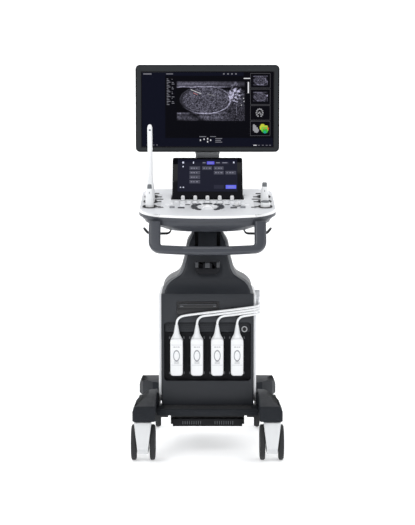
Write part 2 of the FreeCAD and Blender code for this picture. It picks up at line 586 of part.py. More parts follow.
# ---- arm and monitor --------------------------------------------------------------------------------------
def arm_knuckle():
    base = rounded(box(-ARM_HALF_X, ARM_HALF_X, ARM_Y - 30, ARM_Y + 24, KNUCKLE_Z, KNUCKLE_Z + 16), 6.0, V(0, 0, 1))
    base = base.cut(tube(V(0, ARM_Y, KNUCKLE_Z - 1), 12.0 + RUNNING, 20.0))
    parts = [base]
    for x0 in (-ARM_HALF_X, ARM_HALF_X - 10.0):
        cheek = profile([(ARM_Y - 20, KNUCKLE_Z + 10), (ARM_Y - 16, LINK_LOW_Z + 14), (ARM_Y + 16, LINK_LOW_Z + 14),
                         (ARM_Y + 20, KNUCKLE_Z + 10)], x0, x0 + 10)
        parts.append(cheek)
    parts.append(tube(V(-ARM_HALF_X, ARM_Y, LINK_LOW_Z), PIN_R, 2 * ARM_HALF_X, V(1, 0, 0)))
    return join(parts)


def arm_link():
    low = tube(V(-32.5, ARM_Y, LINK_LOW_Z), 14.0, 65.0, V(1, 0, 0))
    high = tube(V(-22.0, ARM_Y, LINK_HIGH_Z), 12.0, 44.0, V(1, 0, 0))
    bar = box(-22, 22, ARM_Y - 11, ARM_Y + 11, LINK_LOW_Z + 3, LINK_HIGH_Z - 3)
    link = join([low, bar, high])
    link = link.cut(tube(V(-50, ARM_Y, LINK_LOW_Z), PIN_R + RUNNING, 100.0, V(1, 0, 0)))
    return link.cut(tube(V(-50, ARM_Y, LINK_HIGH_Z), PIN_R + RUNNING, 100.0, V(1, 0, 0)))


def monitor_head():
    parts = [box(-34, 34, ARM_Y - 14, ARM_Y + 12, LINK_HIGH_Z + 14, LINK_HIGH_Z + 36)]
    for x0 in (-34.0, 22.5):
        parts.append(profile([(ARM_Y - 12, LINK_HIGH_Z - 10), (ARM_Y - 12, LINK_HIGH_Z + 16),
                              (ARM_Y + 12, LINK_HIGH_Z + 16), (ARM_Y + 12, LINK_HIGH_Z - 10)], x0, x0 + 11.5))
    parts.append(tube(V(-34, ARM_Y, LINK_HIGH_Z), PIN_R, 68.0, V(1, 0, 0)))
    parts.append(box(-34, 34, HEAD_TILT_Y, ARM_Y - 10, HEAD_TILT_Z - 6, HEAD_TILT_Z + 6))
    parts.append(tube(V(-34, HEAD_TILT_Y, HEAD_TILT_Z), 9.0, 68.0, V(1, 0, 0)))
    head = join(parts)
    return head.cut(tube(V(-50, HEAD_TILT_Y, HEAD_TILT_Z), PIN_R + RUNNING, 100.0, V(1, 0, 0)))


def monitor_back():
    face = MON_Y + 14.0
    middle = (MON_Z0 + MON_Z1) / 2
    shell = rounded(box(-MON_X + 2, MON_X - 2, face, face + 18, MON_Z0 + 2, MON_Z1 - 2), 14.0, V(0, 1, 0))
    hump = rounded(box(-170, 170, face + 17, face + 40, middle - 105, middle + 105), 20.0, V(0, 1, 0))
    parts = [shell, hump]
    for x0 in (-46.0, 34.6):
        lug = tube(V(x0, HEAD_TILT_Y, HEAD_TILT_Z), 10.0, 11.4, V(1, 0, 0))
        foot = box(x0, x0 + 11.4, face + 38, HEAD_TILT_Y, HEAD_TILT_Z - 10, HEAD_TILT_Z + 10)
        parts += [lug, foot]
    parts.append(tube(V(-46, HEAD_TILT_Y, HEAD_TILT_Z), PIN_R, 92.0, V(1, 0, 0)))
    return join(parts)


def monitor_bezel():
    frame = rounded(box(-MON_X, MON_X, MON_Y, MON_Y + 14, MON_Z0, MON_Z1), 16.0, V(0, 1, 0))
    return frame.cut(box(-SCREEN_X, SCREEN_X, MON_Y - 5, MON_Y + 20, SCREEN_Z0, SCREEN_Z1))


def monitor_panel():
    return box(-SCREEN_X + 0.1, SCREEN_X - 0.1, MON_Y + 2.5, MON_Y + 14, SCREEN_Z0 + 0.1, SCREEN_Z1 - 0.1)


# ---- probes -----------------------------------------------------------------------------------------------
def stack(x, y, rings):
    """Turned body: (height, radius) pairs from its foot up, drawn flat on the console."""
    points = [V(0, 0, rings[0][0])] + [V(r, 0, z) for z, r in rings] + [V(0, 0, rings[-1][0]), V(0, 0, rings[0][0])]
    solid = Part.Face(Part.makePolygon(points)).revolve(V(0, 0, 0), V(0, 0, 1), 360)
    solid.translate(V(x, y, 0))
    return tilted(solid)


FOOT = -CUP_DEPTH + 3.4
PROBES = {
    "probe_endocavity": (-CUP_X, CUP_ROWS[1], [(FOOT, 8), (-12, 15), (30, 15.5), (58, 13), (85, 9.2), (262, 8.6),
                                               (272, 7.5), (278, 4)]),
    "probe_linear": (-CUP_X, CUP_ROWS[0], [(FOOT, 9), (-14, 14), (20, 14.5), (52, 13), (66, 8), (80, 7)]),
    "probe_phased": (CUP_X, CUP_ROWS[1], [(FOOT, 9), (-14, 14), (22, 14), (46, 12), (60, 8.5), (70, 8)]),
    "probe_convex": (CUP_X, CUP_ROWS[0], [(FOOT, 9), (-16, 16), (6, 17), (16, 16.5), (22, 12)]),
}


def main():
    os.makedirs("parts", exist_ok=True)
    corners = {"fl": (-PIVOT_X, PIVOT_FRONT_Y), "fr": (PIVOT_X, PIVOT_FRONT_Y),
               "rl": (-PIVOT_X, PIVOT_REAR_Y), "rr": (PIVOT_X, PIVOT_REAR_Y)}
    for name, pivot in corners.items():
        save(caster_housing(pivot), "caster_" + name)
        save(wheel_pair(pivot), "wheels_" + name)
    save(base_frame(), "base_frame")
    save(leg_covers(), "leg_covers")
    save(footrest(), "footrest")
    save(filter_tray(), "filter_tray")
    save(front_cover(), "front_cover")
    save(side_panel(), "side_panel_right")
    save(mirrored(side_panel()), "side_panel_left")
    save(rear_cover(), "rear_cover")
    save(neck_cover(), "neck_cover")
    save(column_outer(), "column_outer")
    save(column_inner(), "column_inner")
    save(port_panel(), "port_panel")
    for index, x in enumerate(PLUG_X):
        save(probe_plug(x), "probe_plug_%d" % (index + 1))
    save(optical_drive(), "optical_drive")
    save(disc_tray(), "disc_tray")
    save(neck_hook(), "neck_hook")
    save(cable_guide(), "cable_guide")
    save(card_cage(), "card_cage")
    for name, route in CABLE_ROUTES.items():
        solid, length, radii = swept(route, CABLE_D)
        print(name, "length", round(length, 1), "arc radii", radii,
              "volume ratio", round(solid.Volume / (length * math.pi * CABLE_D ** 2 / 4), 4))
        save(solid, name)
    save(console_lower(), "console_lower")
    save(console_top(), "console_top")
    save(tilted(holder()), "holder_right")
    save(tilted(mirrored(holder())), "holder_left")
    save(handle(), "handle")
    save(Part.makeCompound([wire_hook(), mirrored(wire_hook())]), "wire_hooks")
    save(key_bank(), "key_bank")
    for index, x in enumerate(ENCODER_X):
        save(knob(x, ENCODER_Y, ENCODER_R, ENCODER_H), "encoder_%d" % (index + 1))
    save(knob(GAIN_X, GAIN_Y, GAIN_R, GAIN_H), "gain_knob")
    save(trackball(), "trackball")
    save(touch_case(), "touch_case")
    save(touch_glass(), "touch_glass")
    save(riser(), "riser")
    save(arm_knuckle(), "arm_knuckle")
    save(arm_link(), "arm_link")
    save(monitor_head(), "monitor_head")
    save(monitor_back(), "monitor_back")
    save(monitor_bezel(), "monitor_bezel")
    save(monitor_panel(), "monitor_panel")
    for name, (x, y, rings) in PROBES.items():
        save(stack(x, y, rings), name)


main()
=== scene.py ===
"""Ultrasound machine: the looks of every piece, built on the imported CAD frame.

Lengths are metres. +X is the user's right, -Y is the user's side and +Z is up.
"""
import logging
import math
from contextlib import contextmanager
from dataclasses import dataclass, field
from enum import Enum
from typing import Callable, Iterator, Optional, Sequence

import bmesh
import bpy
from mathutils import Matrix, Vector


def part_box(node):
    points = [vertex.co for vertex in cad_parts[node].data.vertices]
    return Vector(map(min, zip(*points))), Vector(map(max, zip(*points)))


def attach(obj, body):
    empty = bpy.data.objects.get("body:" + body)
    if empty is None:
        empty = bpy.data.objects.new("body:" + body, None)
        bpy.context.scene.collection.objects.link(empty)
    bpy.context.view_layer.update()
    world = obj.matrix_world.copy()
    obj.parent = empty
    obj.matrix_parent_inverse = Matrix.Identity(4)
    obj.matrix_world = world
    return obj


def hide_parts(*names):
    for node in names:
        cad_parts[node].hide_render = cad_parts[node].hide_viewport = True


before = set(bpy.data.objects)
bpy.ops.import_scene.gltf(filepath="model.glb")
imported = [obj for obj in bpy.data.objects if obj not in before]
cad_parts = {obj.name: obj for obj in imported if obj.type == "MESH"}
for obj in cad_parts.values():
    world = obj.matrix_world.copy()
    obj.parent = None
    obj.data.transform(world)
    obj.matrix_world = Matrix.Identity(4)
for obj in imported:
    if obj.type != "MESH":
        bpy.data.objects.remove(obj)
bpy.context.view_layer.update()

LOG = logging.getLogger("ultrasound_machine")
Object = bpy.types.Object
Material = bpy.types.Material
Point = tuple[float, float, float]
Colour = tuple[float, float, float]


class Axis(Enum):
    """Directions in the machine's frame."""

    X = Vector((1.0, 0.0, 0.0))
    Y = Vector((0.0, 1.0, 0.0))
    Z = Vector((0.0, 0.0, 1.0))


# ---- shader groups -----------------------------------------------------------------------------------------
def new_group(name: str, inputs: Sequence[tuple[str, float]],
              outputs: Sequence[tuple[str, str]]) -> bpy.types.NodeTree:
    """Make an empty shader group with named sockets.

    Args:
        name: Name of the group.
        inputs: Name and default of each float input.
        outputs: Name and socket type of each output.

    Returns:
        The group, with its input and output nodes in place.
    """
    group = bpy.data.node_groups.new(name, "ShaderNodeTree")
    for label, value in inputs:
        socket = group.interface.new_socket(label, in_out="INPUT", socket_type="NodeSocketFloat")
        socket.default_value = value
    for label, kind in outputs:
        group.interface.new_socket(label, in_out="OUTPUT", socket_type=kind)
    group.nodes.new("NodeGroupInput").name = "in"
    group.nodes.new("NodeGroupOutput").name = "out"
    return group


def math_node(tree: bpy.types.NodeTree, operation: str, first: object,
              second: object = None) -> bpy.types.NodeSocket:
    """Add a Math node fed by sockets or plain numbers.

    Args:
        tree: Node tree to add to.
        operation: Math operation name.
        first: Socket or number.
        second: Socket or number, if the operation takes two.

    Returns:
        The node's output socket.
    """
    node = tree.nodes.new("ShaderNodeMath")
    node.operation = operation
    for index, value in enumerate((first, second)):
        if isinstance(value, bpy.types.NodeSocket):
            tree.links.new(value, node.inputs[index])
        elif value is not None:
            node.inputs[index].default_value = value
    return node.outputs[0]


def build_grain_group() -> bpy.types.NodeTree:
    """Fine moulded or sprayed grain: a height, a slow mottle and a roughness change."""
    group = new_group("Surface grain", [("Grain scale", 1800.0), ("Mottle scale", 14.0)],
                      [("Height", "NodeSocketFloat"), ("Mottle", "NodeSocketFloat"),
                       ("Polish", "NodeSocketFloat")])
    into, out = group.nodes["in"], group.nodes["out"]
    place = group.nodes.new("ShaderNodeTexCoord")
    fine = group.nodes.new("ShaderNodeTexNoise")
    fine.inputs["Detail"].default_value = 3.0
    slow = group.nodes.new("ShaderNodeTexNoise")
    slow.inputs["Detail"].default_value = 4.0
    smear = group.nodes.new("ShaderNodeTexNoise")
    smear.inputs["Detail"].default_value = 6.0
    for noise in (fine, slow, smear):
        group.links.new(place.outputs["Object"], noise.inputs["Vector"])
    group.links.new(into.outputs["Grain scale"], fine.inputs["Scale"])
    group.links.new(into.outputs["Mottle scale"], slow.inputs["Scale"])
    group.links.new(math_node(group, "MULTIPLY", into.outputs["Mottle scale"], 3.7), smear.inputs["Scale"])
    group.links.new(fine.outputs["Fac"], out.inputs["Height"])
    group.links.new(slow.outputs["Fac"], out.inputs["Mottle"])
    group.links.new(smear.outputs["Fac"], out.inputs["Polish"])
    return group


def build_edge_group() -> bpy.types.NodeTree:
    """Softened edges: a rounded normal and a mask that is 1 along worn edges."""
    group = new_group("Soft edges", [("Radius", 0.0008), ("Wear", 0.5)],
                      [("Normal", "NodeSocketVector"), ("Mask", "NodeSocketFloat")])
    into, out = group.nodes["in"], group.nodes["out"]
    bevel = group.nodes.new("ShaderNodeBevel")
    bevel.samples = 4
    group.links.new(into.outputs["Radius"], bevel.inputs["Radius"])
    shape = group.nodes.new("ShaderNodeNewGeometry")
    meet = group.nodes.new("ShaderNodeVectorMath")
    meet.operation = "DOT_PRODUCT"
    group.links.new(bevel.outputs["Normal"], meet.inputs[0])
    group.links.new(shape.outputs["Normal"], meet.inputs[1])
    away = math_node(group, "SUBTRACT", 1.0, meet.outputs["Value"])
    strong = math_node(group, "MULTIPLY", math_node(group, "MULTIPLY", away, 6.0), into.outputs["Wear"])
    capped = math_node(group, "MINIMUM", math_node(group, "MAXIMUM", strong, 0.0), 1.0)
    group.links.new(bevel.outputs["Normal"], out.inputs["Normal"])
    group.links.new(capped, out.inputs["Mask"])
    return group


def build_dust_group() -> bpy.types.NodeTree:
    """Thin dust that settles on faces that look up, thickest low down."""
    group = new_group("Settled dust", [("Amount", 0.1), ("Top height", 0.35)], [("Mask", "NodeSocketFloat")])
    into, out = group.nodes["in"], group.nodes["out"]
    place = group.nodes.new("ShaderNodeTexCoord")
    split = group.nodes.new("ShaderNodeSeparateXYZ")
    group.links.new(place.outputs["Object"], split.inputs[0])
    shape = group.nodes.new("ShaderNodeNewGeometry")
    facing = group.nodes.new("ShaderNodeSeparateXYZ")
    group.links.new(shape.outputs["Normal"], facing.inputs[0])
    low = math_node(group, "SUBTRACT", 1.0, math_node(group, "DIVIDE", split.outputs["Z"],
                                                      into.outputs["Top height"]))
    up = math_node(group, "MAXIMUM", facing.outputs["Z"], 0.15)
    specks = group.nodes.new("ShaderNodeTexNoise")
    specks.inputs["Scale"].default_value = 90.0
    specks.inputs["Detail"].default_value = 8.0
    group.links.new(place.outputs["Object"], specks.inputs["Vector"])
    spread = math_node(group, "MULTIPLY", math_node(group, "MAXIMUM", low, 0.0), up)
    patchy = math_node(group, "MULTIPLY", spread, specks.outputs["Fac"])
    amount = math_node(group, "MINIMUM", math_node(group, "MULTIPLY", patchy, into.outputs["Amount"]), 1.0)
    group.links.new(amount, out.inputs["Mask"])
    return group


GRAIN = build_grain_group()
EDGES = build_edge_group()
DUST = build_dust_group()
DUST_COLOUR = (0.36, 0.35, 0.33, 1.0)
EDGE_WEAR = 0.6
EDGE_LIGHTER = 0.9
GRAIN_STRENGTH = 0.6


# ---- finishes ----------------------------------------------------------------------------------------------
@dataclass(frozen=True)
class Finish:
    """A solid material: base colour, sheen of the surface, grain, edges and dust."""

    name: str
    slot: str
    colour: Colour
    roughness: float = 0.45
    metallic: float = 0.0
    grain_scale: float = 1800.0
    grain_depth: float = 0.00002
    mottle: float = 0.06
    polish: float = 0.08
    edge_radius: float = 0.0008
    edge_tint: float = 0.12
    dust: float = 0.0
    coat: float = 0.0
    anisotropic: float = 0.0
    glow: float = 0.0
    specular: float = 0.5

    def build(self) -> Material:
        """Build the node material once and return it."""
        known = bpy.data.materials.get(self.name)
        if known is not None:
            return known
        material = bpy.data.materials.new(self.name)
        material.use_nodes = True
        tree = material.node_tree
        shader = tree.nodes["Principled BSDF"]
        grain = tree.nodes.new("ShaderNodeGroup")
        grain.node_tree = GRAIN
        grain.inputs["Grain scale"].default_value = self.grain_scale
        edges = tree.nodes.new("ShaderNodeGroup")
        edges.node_tree = EDGES
        edges.inputs["Radius"].default_value = self.edge_radius
        edges.inputs["Wear"].default_value = EDGE_WEAR
        tone = self._mix(tree, grain.outputs["Mottle"], self._shade(-self.mottle), self._shade(self.mottle))
        tone = self._mix(tree, math_node(tree, "MULTIPLY", edges.outputs["Mask"], self.edge_tint), tone,
                         self._shade(EDGE_LIGHTER))
        if self.dust > 0.0:
            dust = tree.nodes.new("ShaderNodeGroup")
            dust.node_tree = DUST
            dust.inputs["Amount"].default_value = self.dust
            tone = self._mix(tree, dust.outputs["Mask"], tone, DUST_COLOUR)
        tree.links.new(tone, shader.inputs["Base Color"])
        ramp = tree.nodes.new("ShaderNodeMapRange")
        ramp.inputs["To Min"].default_value = self.roughness - self.polish
        ramp.inputs["To Max"].default_value = self.roughness + self.polish
        tree.links.new(grain.outputs["Polish"], ramp.inputs["Value"])
        tree.links.new(ramp.outputs["Result"], shader.inputs["Roughness"])
        bump = tree.nodes.new("ShaderNodeBump")
        bump.inputs["Strength"].default_value = GRAIN_STRENGTH
        bump.inputs["Distance"].default_value = self.grain_depth
        tree.links.new(grain.outputs["Height"], bump.inputs["Height"])
        tree.links.new(edges.outputs["Normal"], bump.inputs["Normal"])
        tree.links.new(bump.outputs["Normal"], shader.inputs["Normal"])
        shader.inputs["Metallic"].default_value = self.metallic
        shader.inputs["Coat Weight"].default_value = self.coat
        shader.inputs["Anisotropic"].default_value = self.anisotropic
        shader.inputs["Specular IOR Level"].default_value = self.specular
        shader.inputs["Emission Color"].default_value = (*self.colour, 1.0)
        shader.inputs["Emission Strength"].default_value = self.glow
        material.diffuse_color = (*self.colour, 1.0)
        return material

    def _shade(self, change: float) -> tuple[float, float, float, float]:
        """Return the base colour made lighter (positive) or darker (negative)."""
        return tuple(max(0.0, min(1.0, part * (1.0 + change))) for part in self.colour) + (1.0,)

    @staticmethod
    def _mix(tree: bpy.types.NodeTree, mask: object, first: object, second: object) -> bpy.types.NodeSocket:
        """Mix two colours by a mask.

        Args:
            tree: Node tree to add to.
            mask: Socket of the mixing factor.
            first: Colour or socket shown where the mask is 0.
            second: Colour or socket shown where the mask is 1.

        Returns:
            The mixed colour's socket.
        """
        node = tree.nodes.new("ShaderNodeMix")
        node.data_type = "RGBA"
        for socket, value in ((node.inputs[0], mask), (node.inputs[6], first), (node.inputs[7], second)):
            if isinstance(value, bpy.types.NodeSocket):
                tree.links.new(value, socket)
            else:
                socket.default_value = value
        return node.outputs[2]


CHARCOAL = Finish("Charcoal moulding", "charcoal_shell", (0.020, 0.0225, 0.028), 0.46, dust=0.03,
                  specular=0.38)
CHARCOAL_LIGHT = Finish("Charcoal trim", "charcoal_shell", (0.115, 0.122, 0.135), 0.38)
CHARCOAL_SOFT = Finish("Charcoal cover", "charcoal_shell", (0.016, 0.018, 0.022), 0.58, dust=0.01,
                       specular=0.12)
SLATE = Finish("Slate moulding", "slate_shell", (0.040, 0.044, 0.055), 0.38, edge_tint=0.2)
WHITE = Finish("White moulding", "white_shell", (0.74, 0.75, 0.77), 0.36, mottle=0.015, coat=0.15)
WHITE_GRAINED = Finish("White console moulding", "white_shell", (0.70, 0.71, 0.735), 0.42, mottle=0.03,
                       grain_scale=900.0, grain_depth=0.00006)
RIM_WHITE = Finish("White console rim", "white_shell", (0.86, 0.865, 0.87), 0.25, mottle=0.01, coat=0.4)
PLUG_WHITE = Finish("Plug moulding", "white_shell", (0.82, 0.83, 0.84), 0.40, mottle=0.03)
PLUG_GREY = Finish("Plug grip moulding", "white_shell", (0.30, 0.31, 0.33), 0.5, mottle=0.02)
CASTER_WHITE = Finish("Caster moulding", "caster_shell", (0.66, 0.67, 0.68), 0.40, mottle=0.02, dust=0.08)
RUBBER = Finish("Tread rubber", "tread", (0.020, 0.021, 0.023), 0.72, grain_scale=600.0, grain_depth=0.0001,
                dust=0.12, specular=0.3)
WHEEL_PLASTIC = Finish("Wheel disc moulding", "tread", (0.038, 0.039, 0.042), 0.45, dust=0.08)
STEEL = Finish("Bright steel", "column", (0.50, 0.51, 0.53), 0.30, metallic=1.0, anisotropic=0.4)
CHASSIS = Finish("Powder-coated steel", "chassis", (0.022, 0.023, 0.026), 0.55, grain_scale=700.0,
                 grain_depth=0.00012, dust=0.3)
ALUMINIUM = Finish("Anodised extrusion", "column", (0.42, 0.43, 0.45), 0.34, metallic=0.9, anisotropic=0.5)
SILVER = Finish("Silver paint", "arm_silver", (0.36, 0.37, 0.39), 0.36, metallic=0.35)
SILVER_DARK = Finish("Dark silver paint", "arm_silver", (0.10, 0.105, 0.115), 0.42, metallic=0.3)
PORT_BLACK = Finish("Port plate", "port_black", (0.006, 0.0065, 0.009), 0.55, specular=0.2,
                    grain_scale=1200.0, grain_depth=0.00008)
BLACK_SATIN = Finish("Black satin", "drive_black", (0.008, 0.008, 0.010), 0.32)
BEZEL = Finish("Bezel moulding", "bezel", (0.012, 0.0145, 0.017), 0.46, specular=0.3)
BEZEL_EDGE = Finish("Bezel edge", "bezel", (0.003, 0.003, 0.004), 0.40, specular=0.2)
BLACK_GLASS = Finish("Black cover glass", "display", (0.004, 0.004, 0.006), 0.07, grain_depth=0.0, mottle=0.0,
                     polish=0.02, specular=0.2)
WIRE = Finish("Coated wire", "wire", (0.010, 0.010, 0.012), 0.35)
KEY_WHITE = Finish("Key caps", "keys", (0.80, 0.81, 0.83), 0.30, mottle=0.01)
KEY_GREY = Finish("Grey key caps", "keys", (0.22, 0.23, 0.25), 0.40)
KNOB_WHITE = Finish("Knob moulding", "knob", (0.84, 0.84, 0.85), 0.28, mottle=0.01)
BALL = Finish("Ball resin", "keys", (0.78, 0.78, 0.80), 0.12, mottle=0.05, grain_depth=0.0, coat=1.0)
PROBE_WHITE = Finish("Probe body", "probe", (0.80, 0.81, 0.82), 0.30, mottle=0.015)
PROBE_GREY = Finish("Probe lens", "probe", (0.13, 0.14, 0.15), 0.40)
CABLE_WHITE = Finish("Cable jacket", "cable", (0.80, 0.81, 0.82), 0.42, mottle=0.02, grain_scale=2600.0)
BAND_GREY = Finish("Grey band", "charcoal_shell", (0.150, 0.156, 0.168), 0.40)
HOLDER_GREY = Finish("Holder moulding", "white_shell", (0.56, 0.57, 0.59), 0.40, mottle=0.03)
# Black of the cup liners, also used for the flat dark patches of painted shade beside the cups.
LINER_AND_SHADE_BLACK = Finish("Cup liner rubber and painted shade", "charcoal_shell", (0.010, 0.010, 0.012), 0.55)
KEY_DARK = Finish("Dark key caps", "keys", (0.045, 0.048, 0.055), 0.38)
PAPER = Finish("Studio paper", "stage", (0.93, 0.935, 0.94), 0.65, grain_depth=0.0, mottle=0.004,
               edge_tint=0.0, glow=0.45)
CAGE = Finish("Folded sheet", "cage", (0.55, 0.56, 0.57), 0.35, metallic=1.0)


@dataclass(frozen=True)
class Glow:
    """A lit area of a display."""

    name: str
    colour: Colour
    strength: float = 1.0

    def build(self) -> Material:
        """Build the emitting material once and return it."""
        known = bpy.data.materials.get(self.name)
        if known is not None:
            return known
        material = bpy.data.materials.new(self.name)
        material.use_nodes = True
        tree = material.node_tree
        shader = tree.nodes["Principled BSDF"]
        place = tree.nodes.new("ShaderNodeTexCoord")
        cells = tree.nodes.new("ShaderNodeTexNoise")
        cells.inputs["Scale"].default_value = 60.0
        tree.links.new(place.outputs["Object"], cells.inputs["Vector"])
        dim = tuple(part * 0.86 for part in self.colour) + (1.0,)
        shade = Finish._mix(tree, cells.outputs["Fac"], dim, (*self.colour, 1.0))
        tree.links.new(shade, shader.inputs["Emission Color"])
        shader.inputs["Emission Strength"].default_value = self.strength
        shader.inputs["Base Color"].default_value = (0.0015, 0.0015, 0.0020, 1.0)
        shader.inputs["Roughness"].default_value = 0.16
        shader.inputs["Specular IOR Level"].default_value = 0.05
        return material


PAGE_NAVY = Glow("Page navy", (0.010, 0.011, 0.024))
PAGE_GREY = Glow("Page button", (0.070, 0.072, 0.100))
PAGE_EDGE = Glow("Page button edge", (0.130, 0.130, 0.165))
PAGE_BLUE = Glow("Page action", (0.150, 0.170, 0.900), 1.0)
PAGE_VIOLET = Glow("Page tab", (0.130, 0.120, 0.780), 1.0)
PAGE_FAINT = Glow("Page faint button", (0.024, 0.025, 0.045))
PAGE_WHITE = Glow("Page icon", (0.75, 0.78, 0.95))
PAGE_LIGHT = Glow("Page mark", (0.300, 0.300, 0.380))
SCREEN_BLACK = Glow("Screen black", (0.0012, 0.0012, 0.0030))
SCREEN_NAVY = Glow("Screen navy", (0.0034, 0.0042, 0.0120))
SCREEN_FRAME = Glow("Screen frame", (0.110, 0.110, 0.120))
SCREEN_WHITE = Glow("Screen white", (0.80, 0.80, 0.84))
SCREEN_DIM = Glow("Screen dim", (0.200, 0.200, 0.230))
SCREEN_SOFT = Glow("Screen soft", (0.330, 0.330, 0.350))
MAP_YELLOW = Glow("Map yellow", (0.55, 0.62, 0.05))
MAP_LIME = Glow("Map lime", (0.22, 0.60, 0.06))
MAP_GREEN = Glow("Map green", (0.03, 0.46, 0.05))
MAP_RED = Glow("Map red", (0.75, 0.12, 0.03))
MAP_TEAL = Glow("Map teal", (0.02, 0.36, 0.30))
NEEDLE_RED = Glow("Needle red", (0.62, 0.22, 0.22))


# ---- workshop ----------------------------------------------------------------------------------------------
def deselect() -> None:
    """Deselect every object."""
    bpy.ops.object.select_all(action="DESELECT")


def pick(thing: Object) -> None:
    """Make one object the only selected one, and the active one."""
    deselect()
    thing.select_set(True)
    bpy.context.view_layer.objects.active = thing


def settle() -> None:
    """Settle the selected object's place, turn and size into its mesh."""
    bpy.ops.object.transform_apply(location=True, rotation=True, scale=True)


def face_out() -> None:
    """Select the whole edit mesh and turn its faces outwards."""
    bpy.ops.mesh.select_all(action="SELECT")
    bpy.ops.mesh.normals_make_consistent(inside=False)


@contextmanager
def editing(thing: Object) -> Iterator[bmesh.types.BMesh]:
    """Open an object in edit mode with nothing selected.

    Args:
        thing: Mesh object to edit.

    Yields:
        The edit mesh, for choosing faces and edges.
    """
    pick(thing)
    bpy.ops.object.mode_set(mode="EDIT")
    bpy.ops.mesh.select_all(action="DESELECT")
    yield bmesh.from_edit_mesh(thing.data)
    bpy.ops.object.mode_set(mode="OBJECT")


def choose(mesh: bmesh.types.BMesh, thing: Object, faces: Optional[Callable] = None,
           edges: Optional[Callable] = None) -> int:
    """Select faces or edges that pass a test, and nothing else.

    Args:
        mesh: The edit mesh.
        thing: The object it belongs to.
        faces: Test of a face.
        edges: Test of an edge.

    Returns:
        How many were selected.
    """
    bpy.ops.mesh.select_all(action="DESELECT")
    bpy.ops.mesh.select_mode(type="FACE" if faces else "EDGE")
    found = [item for item in (mesh.faces if faces else mesh.edges) if (faces or edges)(item)]
    for item in found:
        item.select_set(True)
    bmesh.update_edit_mesh(thing.data)
    return len(found)


def along(edge: bmesh.types.BMEdge, axis: Axis) -> bool:
    """Tell whether an edge runs along an axis."""
    run = (edge.verts[1].co - edge.verts[0].co)
    return run.length > 1e-9 and abs(run.normalized().dot(axis.value)) > 0.999


def round_rims(thing: Object, width: float, segments: int = 3, angle: float = 40.0) -> Object:
    """Round all sharp edges with a bevel modifier and apply it.

    Args:
        thing: Mesh object.
        width: Radius of the rounding.
        segments: Faces across it.
        angle: Smallest edge angle that is rounded, in degrees.

    Returns:
        The same object.
    """
    pick(thing)
    modifier = thing.modifiers.new("rim", "BEVEL")
    modifier.width = width
    modifier.segments = segments
    modifier.limit_method = "ANGLE"
    modifier.angle_limit = math.radians(angle)
    modifier.use_clamp_overlap = True
    bpy.ops.object.modifier_apply(modifier="rim")
    return thing


def block(name: str, low: Sequence[float], high: Sequence[float]) -> Object:
    """Add a box between two corners, with its place in its mesh.

    Args:
        name: Name of the piece.
        low: Lowest corner.
        high: Highest corner.

    Returns:
        The new object.
    """
    deselect()
    centre = [(a + b) / 2 for a, b in zip(low, high)]
    bpy.ops.mesh.primitive_cube_add(size=1.0, location=centre, scale=[b - a for a, b in zip(low, high)])
    thing = bpy.context.object
    thing.name = name
    settle()
    return thing


def round_block(name: str, low: Sequence[float], high: Sequence[float], corner: float, axis: Axis,
                rim: float = 0.0, steps: int = 8) -> Object:
    """Add a box whose edges along one axis are rounded, and then its rims.

    Args:
        name: Name of the piece.
        low: Lowest corner.
        high: Highest corner.
        corner: Radius of the edges along the axis.
        axis: Direction of the rounded edges.
        rim: Radius of the remaining edges.
        steps: Faces across each corner.

    Returns:
        The new object.
    """
    thing = block(name, low, high)
    with editing(thing) as mesh:
        choose(mesh, thing, edges=lambda e: along(e, axis))
        bpy.ops.mesh.bevel(offset=corner, segments=steps, affect="EDGES")
    if rim > 0.0:
        round_rims(thing, rim, 3, 50.0)
    return thing


def turned(name: str, base: Sequence[float], axis: Axis, rings: Sequence[tuple[float, float]],
           around: int = 48) -> Object:
    """Build a turned body by drawing a circle up ring by ring.

    Args:
        name: Name of the piece.
        base: Point where the axis leaves the first ring.
        axis: Direction of the turning axis.
        rings: Height along the axis and radius of each ring, in order.
        around: Vertices round the axis.

    Returns:
        The new object, closed at both ends.
    """
    deselect()
    bpy.ops.mesh.primitive_circle_add(vertices=around, radius=rings[0][1], fill_type="NGON",
                                      location=(0, 0, rings[0][0]))
    thing = bpy.context.object
    thing.name = name
    settle()
    with editing(thing) as mesh:
        choose(mesh, thing, faces=lambda f: True)
        for (height, radius), (next_height, next_radius) in zip(rings, rings[1:]):
            bpy.ops.mesh.extrude_region_move(TRANSFORM_OT_translate={"value": (0, 0, next_height - height)})
            ratio = next_radius / radius
            bpy.ops.transform.resize(value=(ratio, ratio, 1.0), center_override=(0, 0, next_height))
        bpy.ops.mesh.select_all(action="SELECT")
        bpy.ops.mesh.remove_doubles(threshold=1e-6)
        bpy.ops.mesh.normals_make_consistent(inside=False)
    turn = Axis.Z.value.rotation_difference(axis.value).to_matrix().to_4x4()
    thing.matrix_world = Matrix.Translation(base) @ turn
    pick(thing)
    settle()
    return thing


def from_cad(node: str, name: str, rim: float = 0.0, segments: int = 3, angle: float = 40.0) -> Object:
    """Copy a CAD node's mesh, weld it and round its rims.

    Args:
        node: Name of the CAD node.
        name: Name of the new piece.
        rim: Radius of the rounding, 0 for none.
        segments: Faces across the rounding.
        angle: Smallest edge angle that is rounded, in degrees.

    Returns:
        The new piece.
    """
    thing = bpy.data.objects.new(name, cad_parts[node].data.copy())
    bpy.context.scene.collection.objects.link(thing)
    thing.data.materials.clear()
    with editing(thing):
        bpy.ops.mesh.select_all(action="SELECT")
        bpy.ops.mesh.remove_doubles(threshold=1e-6)
        bpy.ops.mesh.dissolve_limited(angle_limit=math.radians(0.8))
    if rim > 0.0:
        round_rims(thing, rim, segments, angle)
    return thing


